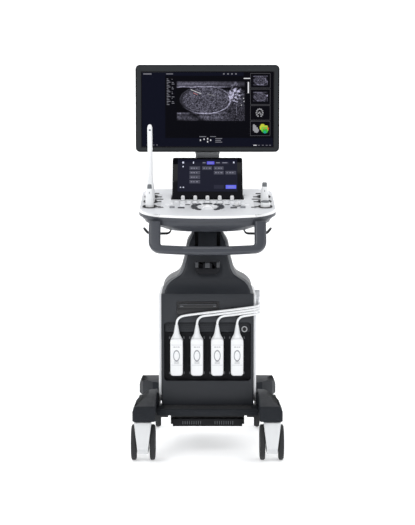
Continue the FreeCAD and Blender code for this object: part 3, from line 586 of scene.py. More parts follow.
def carve(thing: Object, cutter: Object) -> Object:
    """Cut one object's shape out of another and delete the cutter.

    Args:
        thing: Object that keeps its name.
        cutter: Closed object to take away.

    Returns:
        The carved object.
    """
    pick(thing)
    modifier = thing.modifiers.new("carve", "BOOLEAN")
    modifier.operation = "DIFFERENCE"
    modifier.solver = "EXACT"
    modifier.object = cutter
    bpy.ops.object.modifier_apply(modifier="carve")
    bpy.data.objects.remove(cutter)
    return thing


def joined(name: str, things: Sequence[Object]) -> Object:
    """Join several objects into one.

    Args:
        name: Name of the joined piece.
        things: Objects to join; the first keeps its materials first.

    Returns:
        The joined object.
    """
    deselect()
    for thing in things:
        thing.select_set(True)
    bpy.context.view_layer.objects.active = things[0]
    bpy.ops.object.join()
    things[0].name = name
    return things[0]


def placed(thing: Object, move: Matrix) -> Object:
    """Put an object somewhere and settle the place into its mesh.

    Args:
        thing: Object drawn at its own origin.
        move: Where it goes.

    Returns:
        The same object, at the scene's origin.
    """
    thing.matrix_world = move
    pick(thing)
    settle()
    return thing


def copied(thing: Object, name: str, shift: Sequence[float] = (0, 0, 0), flip: bool = False) -> Object:
    """Copy an object with its own mesh, moved or mirrored across the middle plane.

    Args:
        thing: Object to copy.
        name: Name of the copy.
        shift: How far the copy moves.
        flip: Whether the copy is mirrored left to right.

    Returns:
        The copy.
    """
    twin = bpy.data.objects.new(name, thing.data.copy())
    bpy.context.scene.collection.objects.link(twin)
    if flip:
        placed(twin, Matrix.Diagonal((-1.0, 1.0, 1.0, 1.0)))
        with editing(twin):
            face_out()
    return placed(twin, Matrix.Translation(shift))


def dress(thing: Object, finish: Finish, body: str, replaces: Sequence[str] = (),
          angle: float = 32.0) -> Object:
    """Give a piece its finish, its body and smooth shading.

    Args:
        thing: The piece.
        finish: Its material.
        body: CAD body that it rides on.
        replaces: CAD nodes that it stands for.
        angle: Edges sharper than this, in degrees, stay crisp.

    Returns:
        The same piece.
    """
    if not thing.data.materials:
        thing.data.materials.append(finish.build())
    pick(thing)
    bpy.ops.object.shade_smooth_by_angle(angle=math.radians(angle))
    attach(thing, body)
    if replaces:
        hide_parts(*replaces)
    LOG.info("piece %s rides on %s", thing.name, body)
    return thing


def paint_node(node: str, finish: Finish) -> None:
    """Give a CAD node that stays its material."""
    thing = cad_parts[node]
    thing.data.materials.clear()
    thing.data.materials.append(finish.build())


def smooth_faces(thing: Object, levels: int) -> Object:
    """Subdivide a cage into a smooth surface and apply it."""
    pick(thing)
    modifier = thing.modifiers.new("smooth", "SUBSURF")
    modifier.levels = levels
    modifier.render_levels = levels
    bpy.ops.object.modifier_apply(modifier="smooth")
    return thing


def planed(name: str, low: Sequence[float], high: Sequence[float],
           cuts: Sequence[tuple[Point, Point]]) -> Object:
    """Plane a block down by flat cuts.

    Args:
        name: Name of the piece.
        low: Lowest corner of the block.
        high: Highest corner of the block.
        cuts: A point on each cut and the direction of the side that is taken away.

    Returns:
        The closed, planed block.
    """
    thing = block(name, low, high)
    with editing(thing):
        for point, away in cuts:
            bpy.ops.mesh.select_all(action="SELECT")
            bpy.ops.mesh.bisect(plane_co=point, plane_no=away, use_fill=True, clear_outer=True)
        face_out()
    return thing


def slope(first: tuple[float, float], second: tuple[float, float], plane: str) -> tuple[Point, Point]:
    """Describe a cut through two points, with its waste on the left of the way from first to second.

    Args:
        first: First point of the cut in its plane.
        second: Second point of the cut.
        plane: "yz" for a cut seen from the side, "xy" from above, "xz" from the front.

    Returns:
        A point on the cut and the direction of its waste.
    """
    run = (second[0] - first[0], second[1] - first[1])
    away = (-run[1], run[0])
    if plane == "yz":
        return (0.0, first[0], first[1]), (0.0, away[0], away[1])
    if plane == "xy":
        return (first[0], first[1], 0.0), (away[0], away[1], 0.0)
    return (first[0], 0.0, first[1]), (away[0], 0.0, away[1])


# ---- studio ------------------------------------------------------------------------------------------------
@dataclass
class Studio:
    """Camera, soft lights and a pale floor that runs up into a backdrop."""

    camera_place: Point = (0.0, -5.288, 1.182)
    pitch_deg: float = 5.52
    lens: float = 99.76
    backdrop_y: float = 3.2
    curve: float = 1.2

    def build(self) -> None:
        """Set up the camera, the lights, the world and the backdrop."""
        bpy.context.scene.view_settings.view_transform = "Standard"
        self.camera()
        self.world()
        self.lamp("key_light", (-2.1, -3.4, 3.1), (0.0, 0.0, 0.75), 2.4, 2.0, 84.0)
        self.lamp("fill_light", (2.8, -2.6, 1.9), (0.0, 0.0, 0.6), 2.2, 2.6, 40.0)
        self.lamp("top_light", (0.0, 0.1, 3.4), (0.0, 0.0, 0.0), 3.0, 3.0, 30.0)
        self.lamp("rim_light_left", (-2.4, 1.6, 1.8), (0.0, 0.0, 0.8), 1.2, 2.4, 24.0)
        self.lamp("rim_light_right", (2.4, 1.6, 1.8), (0.0, 0.0, 0.8), 1.2, 2.4, 24.0)
        self.backdrop()

    def camera(self) -> None:
        """Place the camera level with the console, straight in front."""
        bpy.ops.object.camera_add(location=self.camera_place, rotation=(math.radians(90.0 - self.pitch_deg),
                                                                        0.0, 0.0))
        camera = bpy.context.object
        camera.name = "camera"
        camera.data.lens = self.lens
        camera.data.sensor_width = 36.0
        camera.data.sensor_fit = "AUTO"
        camera.data.clip_end = 60.0
        camera.data.dof.use_dof = False
        bpy.context.scene.camera = camera

    def world(self) -> None:
        """Fill the surroundings with an even pale light."""
        world = bpy.data.worlds.new("studio_world")
        world.use_nodes = True
        tree = world.node_tree
        sky = tree.nodes["Background"]
        sky.inputs["Color"].default_value = (0.96, 0.975, 1.0, 1.0)
        sky.inputs["Strength"].default_value = 0.40
        paper = tree.nodes.new("ShaderNodeBackground")
        mix = tree.nodes.new("ShaderNodeMixShader")
        ray = tree.nodes.new("ShaderNodeLightPath")
        tree.links.new(ray.outputs["Is Camera Ray"], mix.inputs[0])
        tree.links.new(sky.outputs[0], mix.inputs[1])
        tree.links.new(paper.outputs[0], mix.inputs[2])
        tree.links.new(mix.outputs[0], tree.nodes["World Output"].inputs["Surface"])
        bpy.context.scene.world = world

    def lamp(self, name: str, place: Point, target: Point, width: float, height: float, power: float) -> None:
        """Add one soft rectangular light.

        Args:
            name: Name of the light.
            place: Where it stands.
            target: Point that it faces.
            width: Its width.
            height: Its height.
            power: Its power in watts.
        """
        aim = (Vector(target) - Vector(place)).to_track_quat("-Z", "Y").to_euler()
        bpy.ops.object.light_add(type="AREA", location=place, rotation=aim)
        light = bpy.context.object
        light.name = name
        light.data.shape = "RECTANGLE"
        light.data.size = width
        light.data.size_y = height
        light.data.energy = power

    def backdrop(self) -> None:
        """Build the floor and draw it up into a curved wall behind the machine."""
        floor = block("studio_floor", (-9.0, -9.0, -0.06), (9.0, self.backdrop_y, -0.001))
        with editing(floor) as mesh:
            choose(mesh, floor, faces=lambda f: f.normal.y > 0.95)
            for step in range(8):
                angle = math.radians(90.0 * (step + 0.5) / 8)
                run = self.curve * math.radians(90.0) / 8
                bpy.ops.mesh.extrude_region_move(
                    TRANSFORM_OT_translate={"value": (0, run * math.cos(angle), run * math.sin(angle))})
                bpy.ops.transform.rotate(value=-math.radians(90.0 / 8), orient_axis="X",
                                         center_override=tuple(self._middle(floor)))
            bpy.ops.mesh.extrude_region_move(TRANSFORM_OT_translate={"value": (0, 0, 6.0)})
        pick(floor)
        bpy.ops.object.shade_smooth_by_angle(angle=math.radians(40.0))
        floor.data.materials.append(PAPER.build())

    @staticmethod
    def _middle(thing: Object) -> Vector:
        """Return the middle of the selected faces' vertices."""
        mesh = bmesh.from_edit_mesh(thing.data)
        spots = [vert.co for vert in mesh.verts if vert.select]
        return sum(spots, Vector()) / len(spots)


# ---- probe cables ------------------------------------------------------------------------------------------
@dataclass
class ProbeCables:
    """The four probe cables, from their plugs round the right side into the duct."""

    diameter: float = 0.008
    routes: dict = field(default_factory=lambda: {
        "probe_cable_1": (0.4521, [(-0.110, -0.158, 0.461), (-0.110, -0.158, 0.475),
                                   (-0.1028, -0.1587, 0.488), (-0.090, -0.1605, 0.4955),
                                   (-0.064, -0.163, 0.500), (-0.018, -0.163, 0.5055), (0.045, -0.1634, 0.513),
                                   (0.100, -0.163, 0.5195), (0.186, -0.165, 0.531), (0.186, -0.092, 0.533),
                                   (0.184, -0.056, 0.5336), (0.184, -0.020, 0.5332)]),
        "probe_cable_2": (0.3791, [(-0.0376, -0.158, 0.461), (-0.0376, -0.158, 0.475),
                                   (-0.0304, -0.1587, 0.488), (-0.0176, -0.1605, 0.4955),
                                   (0.008, -0.163, 0.4985), (0.052, -0.1633, 0.504), (0.102, -0.163, 0.5105),
                                   (0.186, -0.165, 0.522), (0.186, -0.092, 0.524), (0.184, -0.056, 0.5246),
                                   (0.184, -0.020, 0.5242)]),
        "probe_cable_3": (0.3067, [(0.0347, -0.158, 0.461), (0.0347, -0.158, 0.475), (0.0419, -0.1587, 0.488),
                                   (0.0547, -0.1605, 0.4955), (0.081, -0.163, 0.4985),
                                   (0.116, -0.1633, 0.5032), (0.186, -0.165, 0.513), (0.186, -0.094, 0.515),
                                   (0.184, -0.057, 0.5156), (0.184, -0.020, 0.5152)]),
        "probe_cable_4": (0.2365, [(0.1053, -0.158, 0.461), (0.1053, -0.158, 0.475), (0.1125, -0.1587, 0.488),
                                   (0.1253, -0.1605, 0.4955), (0.186, -0.165, 0.5035),
                                   (0.186, -0.098, 0.5056), (0.184, -0.058, 0.5063),
                                   (0.184, -0.020, 0.5062)]),
    })

    def build(self) -> None:
        """Build every cable."""
        for node, (length, points) in self.routes.items():
            self.cable(node, length, points)

    def cable(self, node: str, length: float, points: Sequence[Point]) -> None:
        """Draw one cable as a smooth spline with a round section.

        Args:
            node: CAD node of the cable.
            length: Its length.
            points: Control points of its line.
        """
        curve = bpy.data.curves.new(node + "_jacket", "CURVE")
        curve.dimensions = "3D"
        spline = curve.splines.new("NURBS")
        spline.points.add(len(points) - 1)
        for point, place in zip(spline.points, points):
            point.co = (*place, 1.0)
        spline.order_u = 3
        spline.use_endpoint_u = True
        spline.resolution_u = 12
        curve.bevel_depth = self.diameter / 2
        curve.bevel_resolution = 6
        curve.use_fill_caps = True
        thing = bpy.data.objects.new(node + "_jacket", curve)
        bpy.context.scene.collection.objects.link(thing)
        curve.materials.append(CABLE_WHITE.build())
        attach(thing, "cart")
        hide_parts(node)
        LOG.info("cable %s is %.3f m long", node, length)


# ---- running gear ------------------------------------------------------------------------------------------
@dataclass
class Caster:
    """Twin-wheel swivel caster at one corner."""

    corner: str
    disc_radius: float = 0.052

    def wheel(self, name: str) -> Object:
        """Turn one wheel with its tyre, recessed disc and hub cap, its outer side towards +X."""
        low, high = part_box("wheels_" + self.corner)
        radius = (high.z - low.z) / 2
        rings = [(0.0, 0.050), (0.0006, 0.057), (0.0025, radius - 0.0012), (0.006, radius - 0.0001),
                 (0.013, radius - 0.0001), (0.0165, radius - 0.0012), (0.0185, 0.0575), (0.019, 0.0535),
                 (0.0172, 0.0522), (0.0158, 0.0505), (0.0156, 0.0400), (0.0150, 0.0385), (0.0150, 0.0230),
                 (0.0168, 0.0205), (0.0184, 0.0180), (0.0190, 0.0140), (0.0190, 0.0060), (0.0178, 0.0045),
                 (0.0178, 0.0010)]
        thing = turned(name, (0, 0, 0), Axis.X, rings, around=72)
        thing.data.materials.append(RUBBER.build())
        thing.data.materials.append(WHEEL_PLASTIC.build())
        for face in thing.data.polygons:
            reach = math.hypot(face.center.y, face.center.z)
            face.material_index = 1 if reach < self.disc_radius else 0
        return thing

    def build(self) -> None:
        """Build the wheel pair and the housing of this caster."""
        low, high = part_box("wheels_" + self.corner)
        centre = (low + high) / 2
        outer = self.wheel("wheel_" + self.corner + "_right")
        twin = copied(outer, "wheel_" + self.corner + "_left", flip=True)
        gap = (high.x - low.x) / 2 - 0.019
        placed(outer, Matrix.Translation((centre.x + gap, centre.y, centre.z)))
        placed(twin, Matrix.Translation((centre.x - gap, centre.y, centre.z)))
        axle = turned("axle_" + self.corner, (centre.x - gap - 0.002, centre.y, centre.z), Axis.X,
                      [(0.0, 0.0052), (0.0008, 0.006), (2 * gap + 0.0032, 0.006),
                       (2 * gap + 0.004, 0.0052)], 32)
        body = "wheel_" + self.corner
        dress(outer, RUBBER, body, ["wheels_" + self.corner])
        dress(twin, RUBBER, body)
        dress(axle, STEEL, body)
        housing = from_cad("caster_" + self.corner, "caster_housing_" + self.corner, 0.0012, 3, 35.0)
        dress(housing, CASTER_WHITE, "swivel_" + self.corner, ["caster_" + self.corner])
        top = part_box("caster_" + self.corner)[1].z - 0.044
        px = centre.x
        py = centre.y - 0.032
        collar = turned("swivel_collar_" + self.corner, (px, py, top), Axis.Z,
                        [(-0.0008, 0.0215), (0.0, 0.0225), (0.0030, 0.0225), (0.0036, 0.0215)], 40)
        dress(collar, STEEL, "swivel_" + self.corner)


# ---- base --------------------------------------------------------------------------------------------------
@dataclass
class Base:
    """Chassis, leg covers, footrest and filter tray."""

    low_z: float = 0.149
    inner_x: float = 0.1805
    outer_x: float = 0.261
    rim: float = 0.0065
    ends: dict = field(default_factory=lambda: {"front": (-1.0, 0.3365, 0.095, 0.222, 0.1455),
                                                "rear": (1.0, 0.3125, 0.080, 0.213, 0.2215)})

    def leg_cover(self, name: str, side: float, end: float, root: float, top: float, depth: float) -> Object:
        """Plane the right-hand cover of one caster arm.

        Args:
            name: Name of the piece.
            side: -1 for the front pair, 1 for the rear pair.
            end: How far the cover's tip is from the middle.
            root: How far its inner end is from the middle.
            top: Height of its crest.
            depth: How far its inner ledge reaches from the middle.

        Returns:
            The cover, hollow underneath.
        """
        x0, x1 = self.inner_x, self.outer_x
        cuts = [slope((-end - 0.001, 0.1955), (-end + 0.008, 0.202), "yz"),
                slope((-end + 0.008, 0.202), (-end + 0.115, top), "yz"),
                slope((x1 - 0.008, 0.199), (x1 + 0.001, 0.180), "xz"),
                slope((x1 - 0.032, 0.212), (x1 - 0.008, 0.199), "xz"),
                slope((x1 - 0.062, 0.228), (x1 - 0.032, 0.212), "xz"),
                slope((x1 - 0.016, -0.160), (x1, -end + 0.090), "xy"),
                slope((0.205, -root - 0.012), (x1 - 0.016, -0.160), "xy"),
                slope((0.1748, -root), (0.205, -root - 0.012), "xy")]
        cover = planed(name, (x0, -end, self.low_z), (x1, -root, top), cuts)
        with editing(cover) as mesh:
            choose(mesh, cover, edges=lambda e: along(e, Axis.Z) and e.verts[0].co.y < -end + 0.002)
            bpy.ops.mesh.bevel(offset=0.014, segments=6, affect="EDGES")
        round_rims(cover, self.rim, 4, 12.0)
        with editing(cover) as mesh:
            choose(mesh, cover, faces=lambda f: f.normal.z < -0.95 and f.calc_area() > 0.002)
            bpy.ops.mesh.inset(thickness=0.004)
            bpy.ops.mesh.extrude_region_move(TRANSFORM_OT_translate={"value": (0, 0, 0.028)})
        ledge = round_block(name + "_ledge", (0.1749, -depth, self.low_z + 0.001),
                            (x0 + 0.012, -root - 0.006, top - 0.006), 0.003, Axis.Y, 0.001, 3)
        cover = joined(name, [cover, ledge])
        if side > 0:
            placed(cover, Matrix.Diagonal((1.0, -1.0, 1.0, 1.0)))
            with editing(cover):
                face_out()
        return cover

    def build(self) -> None:
        """Build every piece of the base."""
        replaced = ["leg_covers"]
        for place, sizes in self.ends.items():
            right = self.leg_cover("leg_cover_" + place + "_right", *sizes)
            left = copied(right, "leg_cover_" + place + "_left", flip=True)
            dress(right, CHARCOAL_SOFT, "cart", replaced)
            dress(left, CHARCOAL_SOFT, "cart")
            replaced = []
        frame_piece = from_cad("base_frame", "chassis_frame", 0.0008)
        dress(frame_piece, CHASSIS, "cart", ["base_frame"])
        step = from_cad("footrest", "foot_rest", 0.0022, 4, 30.0)
        dress(step, CHARCOAL_SOFT, "cart", ["footrest"])
        self.tread_strips()
        tray = from_cad("filter_tray", "filter_tray_drawer", 0.0012)
        dress(tray, PORT_BLACK, "filter_drawer", ["filter_tray"])
        self.filter_mesh()

    def tread_strips(self) -> None:
        """Lay rubber strips on the footrest."""
        low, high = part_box("footrest")
        strips = []
        for index in range(5):
            y = low.y + 0.016 + index * 0.013
            strips.append(round_block("strip", (low.x + 0.022, y, high.z - 0.001),
                                      (high.x - 0.022, y + 0.006, high.z + 0.0012), 0.002, Axis.Z, 0.0005, 4))
        dress(joined("footrest_tread", strips), RUBBER, "cart")

    def filter_mesh(self) -> None:
        """Fill the two windows of the filter tray with a grille."""
        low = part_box("filter_tray")[0]
        bars = []
        for start in (-0.0885, 0.0255):
            for index in range(9):
                x = start + index * 0.0079
                bars.append(block("bar", (x, low.y + 0.0015, 0.1128), (x + 0.002, low.y + 0.0045, 0.1262)))
        dress(joined("filter_grille", bars), CHARCOAL_LIGHT, "filter_drawer")


# ---- cart body ---------------------------------------------------------------------------------------------
@dataclass
class Cabinet:
    """Front, side and rear covers with the drive, the port bay and its plugs."""

    plug_x: tuple[float, ...] = (-0.110, -0.0376, 0.0347, 0.1053)

    def build(self) -> None:
        """Build every cover and what is set into them."""
        front = from_cad("front_cover", "cabinet_front", 0.0016, 4)
        dress(front, CHARCOAL, "cart", ["front_cover"])
        for side in ("left", "right"):
            panel = from_cad("side_panel_" + side, "side_cover_" + side, 0.0022, 4, 30.0)
            dress(panel, WHITE, "cart", ["side_panel_" + side])
        rear = from_cad("rear_cover", "cabinet_rear", 0.0012, 3)
        dress(rear, CHARCOAL, "cart", ["rear_cover"])
        paint_node("card_cage", CAGE)
        paint_node("column_outer", ALUMINIUM)
        self.rear_details()
        self.drive()
        self.port_bay()
        for index, x in enumerate(self.plug_x):
            self.plug(index + 1, x)
        guide = from_cad("cable_guide", "cable_duct", 0.002, 4)
        dress(guide, WHITE, "cart", ["cable_guide"])
        self.cable_clip()

    def rear_details(self) -> None:
        """Fit screws and a socket plate to the rear cover."""
        low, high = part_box("rear_cover")
        screws = []
        for x in (low.x + 0.016, high.x - 0.016):
            for z in (low.z + 0.018, (low.z + high.z) / 2, high.z - 0.018):
                screws.append(screw("rear_screw", (x, high.y - 0.0005, z), Axis.Y))
        dress(joined("rear_screws", screws), STEEL, "cart")
        plate = round_block("socket_plate", (-0.06, high.y - 0.001, 0.445), (0.06, high.y + 0.002, 0.520),
                            0.005, Axis.Y, 0.0008)
        dress(plate, PORT_BLACK, "cart")
        sockets = []
        for index in range(4):
            x = -0.048 + index * 0.026
            socket = round_block("socket", (x, high.y + 0.0015, 0.470), (x + 0.018, high.y + 0.0035, 0.494),
                                 0.002, Axis.Y, 0.0004)
            with editing(socket) as mesh:
                choose(mesh, socket, faces=lambda f: f.normal.y > 0.95)
                bpy.ops.mesh.inset(thickness=0.002)
                bpy.ops.mesh.extrude_region_move(TRANSFORM_OT_translate={"value": (0, -0.0015, 0)})
            sockets.append(socket)
        dress(joined("rear_sockets", sockets), CHARCOAL_LIGHT, "cart")

    def drive(self) -> None:
        """Build the disc drive's front, its tray and its buttons."""
        body = from_cad("optical_drive", "drive_body", 0.0008)
        dress(body, BLACK_SATIN, "cart", ["optical_drive"])
        tray = from_cad("disc_tray", "drive_tray", 0.0008)
        dress(tray, BLACK_SATIN, "disc_drawer", ["disc_tray"])
        low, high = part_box("disc_tray")
        line = round_block("tray_line", (low.x + 0.004, low.y - 0.0006, high.z - 0.007),
                           (high.x - 0.004, low.y + 0.001, high.z - 0.0058), 0.0004, Axis.X, 0.0)
        dress(line, CHARCOAL_LIGHT, "disc_drawer")
        marks = [round_block("mark", (x0, low.y - 0.0007, high.z - 0.0135),
                             (x1, low.y + 0.001, high.z - 0.0105), 0.001, Axis.Y)
                 for x0, x1 in ((low.x + 0.006, low.x + 0.018), (high.x - 0.016, high.x - 0.006))]
        dress(joined("tray_marks", marks), CHARCOAL_LIGHT, "disc_drawer")
        dlow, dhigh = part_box("optical_drive")
        button = round_block("eject_button", (dhigh.x - 0.026, dlow.y - 0.0016, dlow.z + 0.0055),
                             (dhigh.x - 0.012, dlow.y + 0.002, dlow.z + 0.0105), 0.0015, Axis.Y, 0.0005)
        dress(button, CHARCOAL_LIGHT, "cart")
        lens = turned("status_lens", (0.087, -0.1495, 0.518), Axis.Y, [(0.0, 0.0045), (0.0005, 0.0066),
                                                                       (0.004, 0.0068), (0.006, 0.0068)], 40)
        dress(lens, BLACK_GLASS, "cart")

    def port_bay(self) -> None:
        """Build the connector plate, its textured strip, its port and its latches."""
        low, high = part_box("port_panel")
        panel = from_cad("port_panel", "port_plate", 0.0010, 3)
        dress(panel, PORT_BLACK, "cart", ["port_panel"])
        strip = round_block("bay_strip", (low.x + 0.004, -0.1325, 0.4345), (high.x - 0.004, -0.1275,
                                                                            high.z - 0.003),
                            0.006, Axis.Y, 0.0008)
        dress(strip, CHARCOAL, "cart")
        dots = []
        for row in range(4):
            for column in range(36):
                x = low.x + 0.017 + column * 0.008 + (0.004 if row % 2 else 0.0)
                if math.hypot(x - 0.132, 0.4435 + row * 0.007 - 0.445) > 0.015:
                    dots.append(turned("dot", (x, -0.1333, 0.4435 + row * 0.007), Axis.Y,
                                       [(0.0, 0.0012), (0.0012, 0.0018)], 8))
        dress(joined("bay_strip_studs", dots), PORT_BLACK, "cart")
        latches = []
        for x in self.plug_x:
            for side in (-1, 1):
                for z in (0.414, 0.287):
                    cx = x + side * 0.0255
                    latches.append(round_block("latch", (cx - 0.0025, -0.1365, z - 0.004),
                                               (cx + 0.0025, -0.132, z + 0.004), 0.001, Axis.Y, 0.0004, 3))
        dress(joined("plug_latches", latches), SILVER_DARK, "cart")
        ring = turned("port_ring", (0.132, -0.1395, 0.445), Axis.Y,
                      [(0.0042, 0.0066), (0.0042, 0.0074), (0.0, 0.0080), (0.0, 0.0096), (0.0008, 0.0105),
                       (0.006, 0.0105)], 48)
        dress(ring, HOLDER_GREY, "cart")
        core = turned("port_core", (0.132, -0.1362, 0.445), Axis.Y, [(0.0006, 0.0030), (0.0, 0.0034),
                                                                     (0.0, 0.0064), (0.0020, 0.0068)], 40)
        dress(core, BLACK_SATIN, "cart")

    def plug(self, number: int, x: float) -> None:
        """Build one probe plug with its shoulders, grip and strain relief.

        Args:
            number: Number of the plug from the left.
            x: Its middle.
        """
        low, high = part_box("probe_plug_%d" % number)
        front, back = low.y, high.y - 0.0015
        shell = round_block("plug_shell_%d" % number, (x - 0.022, front, low.z), (x + 0.022, back, 0.4165),
                            0.011, Axis.Y, 0.0, 8)
        round_rims(shell, 0.0055, 5, 50.0)
        shoulder = turned("plug_shoulder_%d" % number, (x, -0.1565, 0.4095), Axis.Z,
                          [(0.0, 0.0205), (0.004, 0.0200), (0.009, 0.0178), (0.015, 0.0142),
                           (0.021, 0.0118)], 48)
        placed(shoulder, Matrix.Translation((0, -0.1565, 0)) @ Matrix.Diagonal((1, 0.86, 1, 1))
               @ Matrix.Translation((0, 0.1565, 0)))
        dress(shell, PLUG_WHITE, "cart", ["probe_plug_%d" % number])
        dress(shoulder, PLUG_WHITE, "cart")
        self.relief(number, x)
        self.grip(number, x, front)

    def relief(self, number: int, x: float) -> None:
        """Turn the ribbed strain relief of one plug."""
        rings = [(0.0, 0.0116)]
        for index in range(9):
            z = 0.003 + index * 0.0034
            radius = 0.0112 - index * 0.00062
            rings += [(z, radius), (z + 0.0006, radius - 0.0009), (z + 0.0016, radius - 0.0010),
                      (z + 0.0022, radius - 0.0002)]
        rings += [(0.0345, 0.0053), (0.0352, 0.0044)]
        relief = turned("strain_relief_%d" % number, (x, -0.158, 0.4285), Axis.Z, rings, 40)
        dress(relief, PLUG_WHITE, "cart")

    def grip(self, number: int, x: float, front: float) -> None:
        """Set the oval grip, its ring and the two seams in one plug's front."""
        ring = turned("plug_grip_%d" % number, (0, 0, 0), Axis.Y,
                      [(0.0016, 0.0090), (0.0002, 0.0096), (0.0, 0.0106), (0.0004, 0.0116), (0.0024, 0.0122),
                       (0.0030, 0.0122)], 48)
        placed(ring, Matrix.Translation((x, front - 0.0012, 0.3555)) @ Matrix.Diagonal((1.0, 1.0, 1.75, 1.0)))
        dress(ring, PLUG_GREY, "cart")
        pad = round_block("plug_pad_%d" % number, (x - 0.0042, front - 0.0016, 0.3465),
                          (x + 0.0042, front + 0.002, 0.3645), 0.0035, Axis.Y, 0.0006)
        dress(pad, PLUG_WHITE, "cart")
        seams = [round_block("seam", (x - 0.0185, front - 0.0003, z), (x + 0.0185, front + 0.001,
                                                                       z + 0.0009), 0.0003, Axis.X)
                 for z in (0.3935, 0.3215)]
        seams += [round_block("dash", (x + start, front - 0.0004, 0.3855), (x + end, front + 0.001, 0.3880),
                              0.0005, Axis.Y)
                  for start, end in ((-0.0110, -0.0030), (-0.0010, 0.0035), (0.0055, 0.0110))]
        seams += [round_block("rib", (x - 0.0090, front - 0.0006, z), (x + 0.0090, front + 0.001,
                                                                       z + 0.0012), 0.0005, Axis.X)
                  for z in (0.3265, 0.3300, 0.3335)]
        dress(joined("plug_seams_%d" % number, seams), PLUG_GREY, "cart")

    def cable_clip(self) -> None:
        """Build the small hook above the cables on the right side."""
        low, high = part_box("cable_guide")
        clip = round_block("cable_clip", (low.x, low.y - 0.004, high.z - 0.012),
                           (high.x, low.y + 0.012, high.z + 0.012), 0.004, Axis.X, 0.001)
        dress(clip, HOLDER_GREY, "cart")


def screw(name: str, at: Sequence[float], axis: Axis, radius: float = 0.0032) -> Object:
    """Turn a pan-head screw with a socket.

    Args:
        name: Name of the screw.
        at: Where its head sits.
        axis: Direction that its head points to.
        radius: Radius of its head.

    Returns:
        The screw's head.
    """
    return turned(name, at, axis, [(0.0, radius), (0.0007, radius), (0.0013, radius * 0.85),
                                   (0.0016, radius * 0.6), (0.0016, radius * 0.42),
                                   (0.0006, radius * 0.40)], 18)
# ---- neck --------------------------------------------------------------------------------------------------
@dataclass
class Neck:
    """Tapering neck with its trim bands and the cable hook."""

    heights: tuple = ((0.5745, 0.1640, -0.1485), (0.583, 0.1625, -0.140), (0.600, 0.155, -0.127),
                      (0.613, 0.144, -0.120), (0.626, 0.124, -0.115), (0.640, 0.104, -0.111),
                      (0.659, 0.094, -0.1065), (0.692, 0.085, -0.098), (0.731, 0.078, -0.084),
                      (0.752, 0.074, -0.075), (0.765, 0.067, -0.069), (0.790, 0.057, -0.052))

    def build(self) -> None:
        """Build the neck cover, its bands, the column mast and its hook."""
        cover = from_cad("neck_cover", "neck_shell", 0.0012, 3, 30.0)
        dress(cover, CHARCOAL, "cart", ["neck_cover"])
        right = self.band()
        left = copied(right, "neck_band_left", flip=True)
        dress(right, BAND_GREY, "cart")
        dress(left, BAND_GREY, "cart")
        mast = from_cad("column_inner", "column_mast", 0.0010)
        dress(mast, ALUMINIUM, "column", ["column_inner"])
        self.hook()

    def band(self) -> Object:
        """Draw the lighter band that follows the neck's front corner on the right."""
        deselect()
        height, half, front = self.heights[0]
        bpy.ops.mesh.primitive_circle_add(vertices=10, radius=1.0, fill_type="NGON",
                                          location=(half - 0.0075, front + 0.0052, height))
        thing = bpy.context.object
        thing.name = "neck_band_right"
        thing.scale = (0.0046, 0.0030, 1.0)
        settle()
        with editing(thing) as mesh:
            choose(mesh, thing, faces=lambda f: True)
            for (z0, x0, y0), (z1, x1, y1) in zip(self.heights, self.heights[1:]):
                step = (x1 - x0, y1 - y0, z1 - z0)
                bpy.ops.mesh.extrude_region_move(TRANSFORM_OT_translate={"value": step})
            face_out()
        return thing

    def hook(self) -> None:
        """Build the cable hook: trough, two horns and the middle blocks."""
        trough = from_cad("neck_hook", "hook_trough", 0.0016, 3, 40.0)
        dress(trough, PORT_BLACK, "cart", ["neck_hook"])
        caps = []
        for side in (-1, 1):
            x0, x1 = sorted((side * 0.0325, side * 0.0435))
            caps.append(round_block("horn", (x0, -0.1336, 0.6640), (x1, -0.1175, 0.6868), 0.0040, Axis.X,
                                    0.0012))
        middle = round_block("hook_plate", (-0.0085, -0.1342, 0.664), (0.0085, -0.1120, 0.6835), 0.003,
                             Axis.X, 0.001)
        caps.append(middle)
        dress(joined("hook_caps", caps), KEY_DARK, "cart")


# ---- console -----------------------------------------------------------------------------------------------
SLOPE = Matrix.Translation((0.0, -0.335, 0.862)) @ Matrix.Rotation(math.radians(9.0), 4, "X")


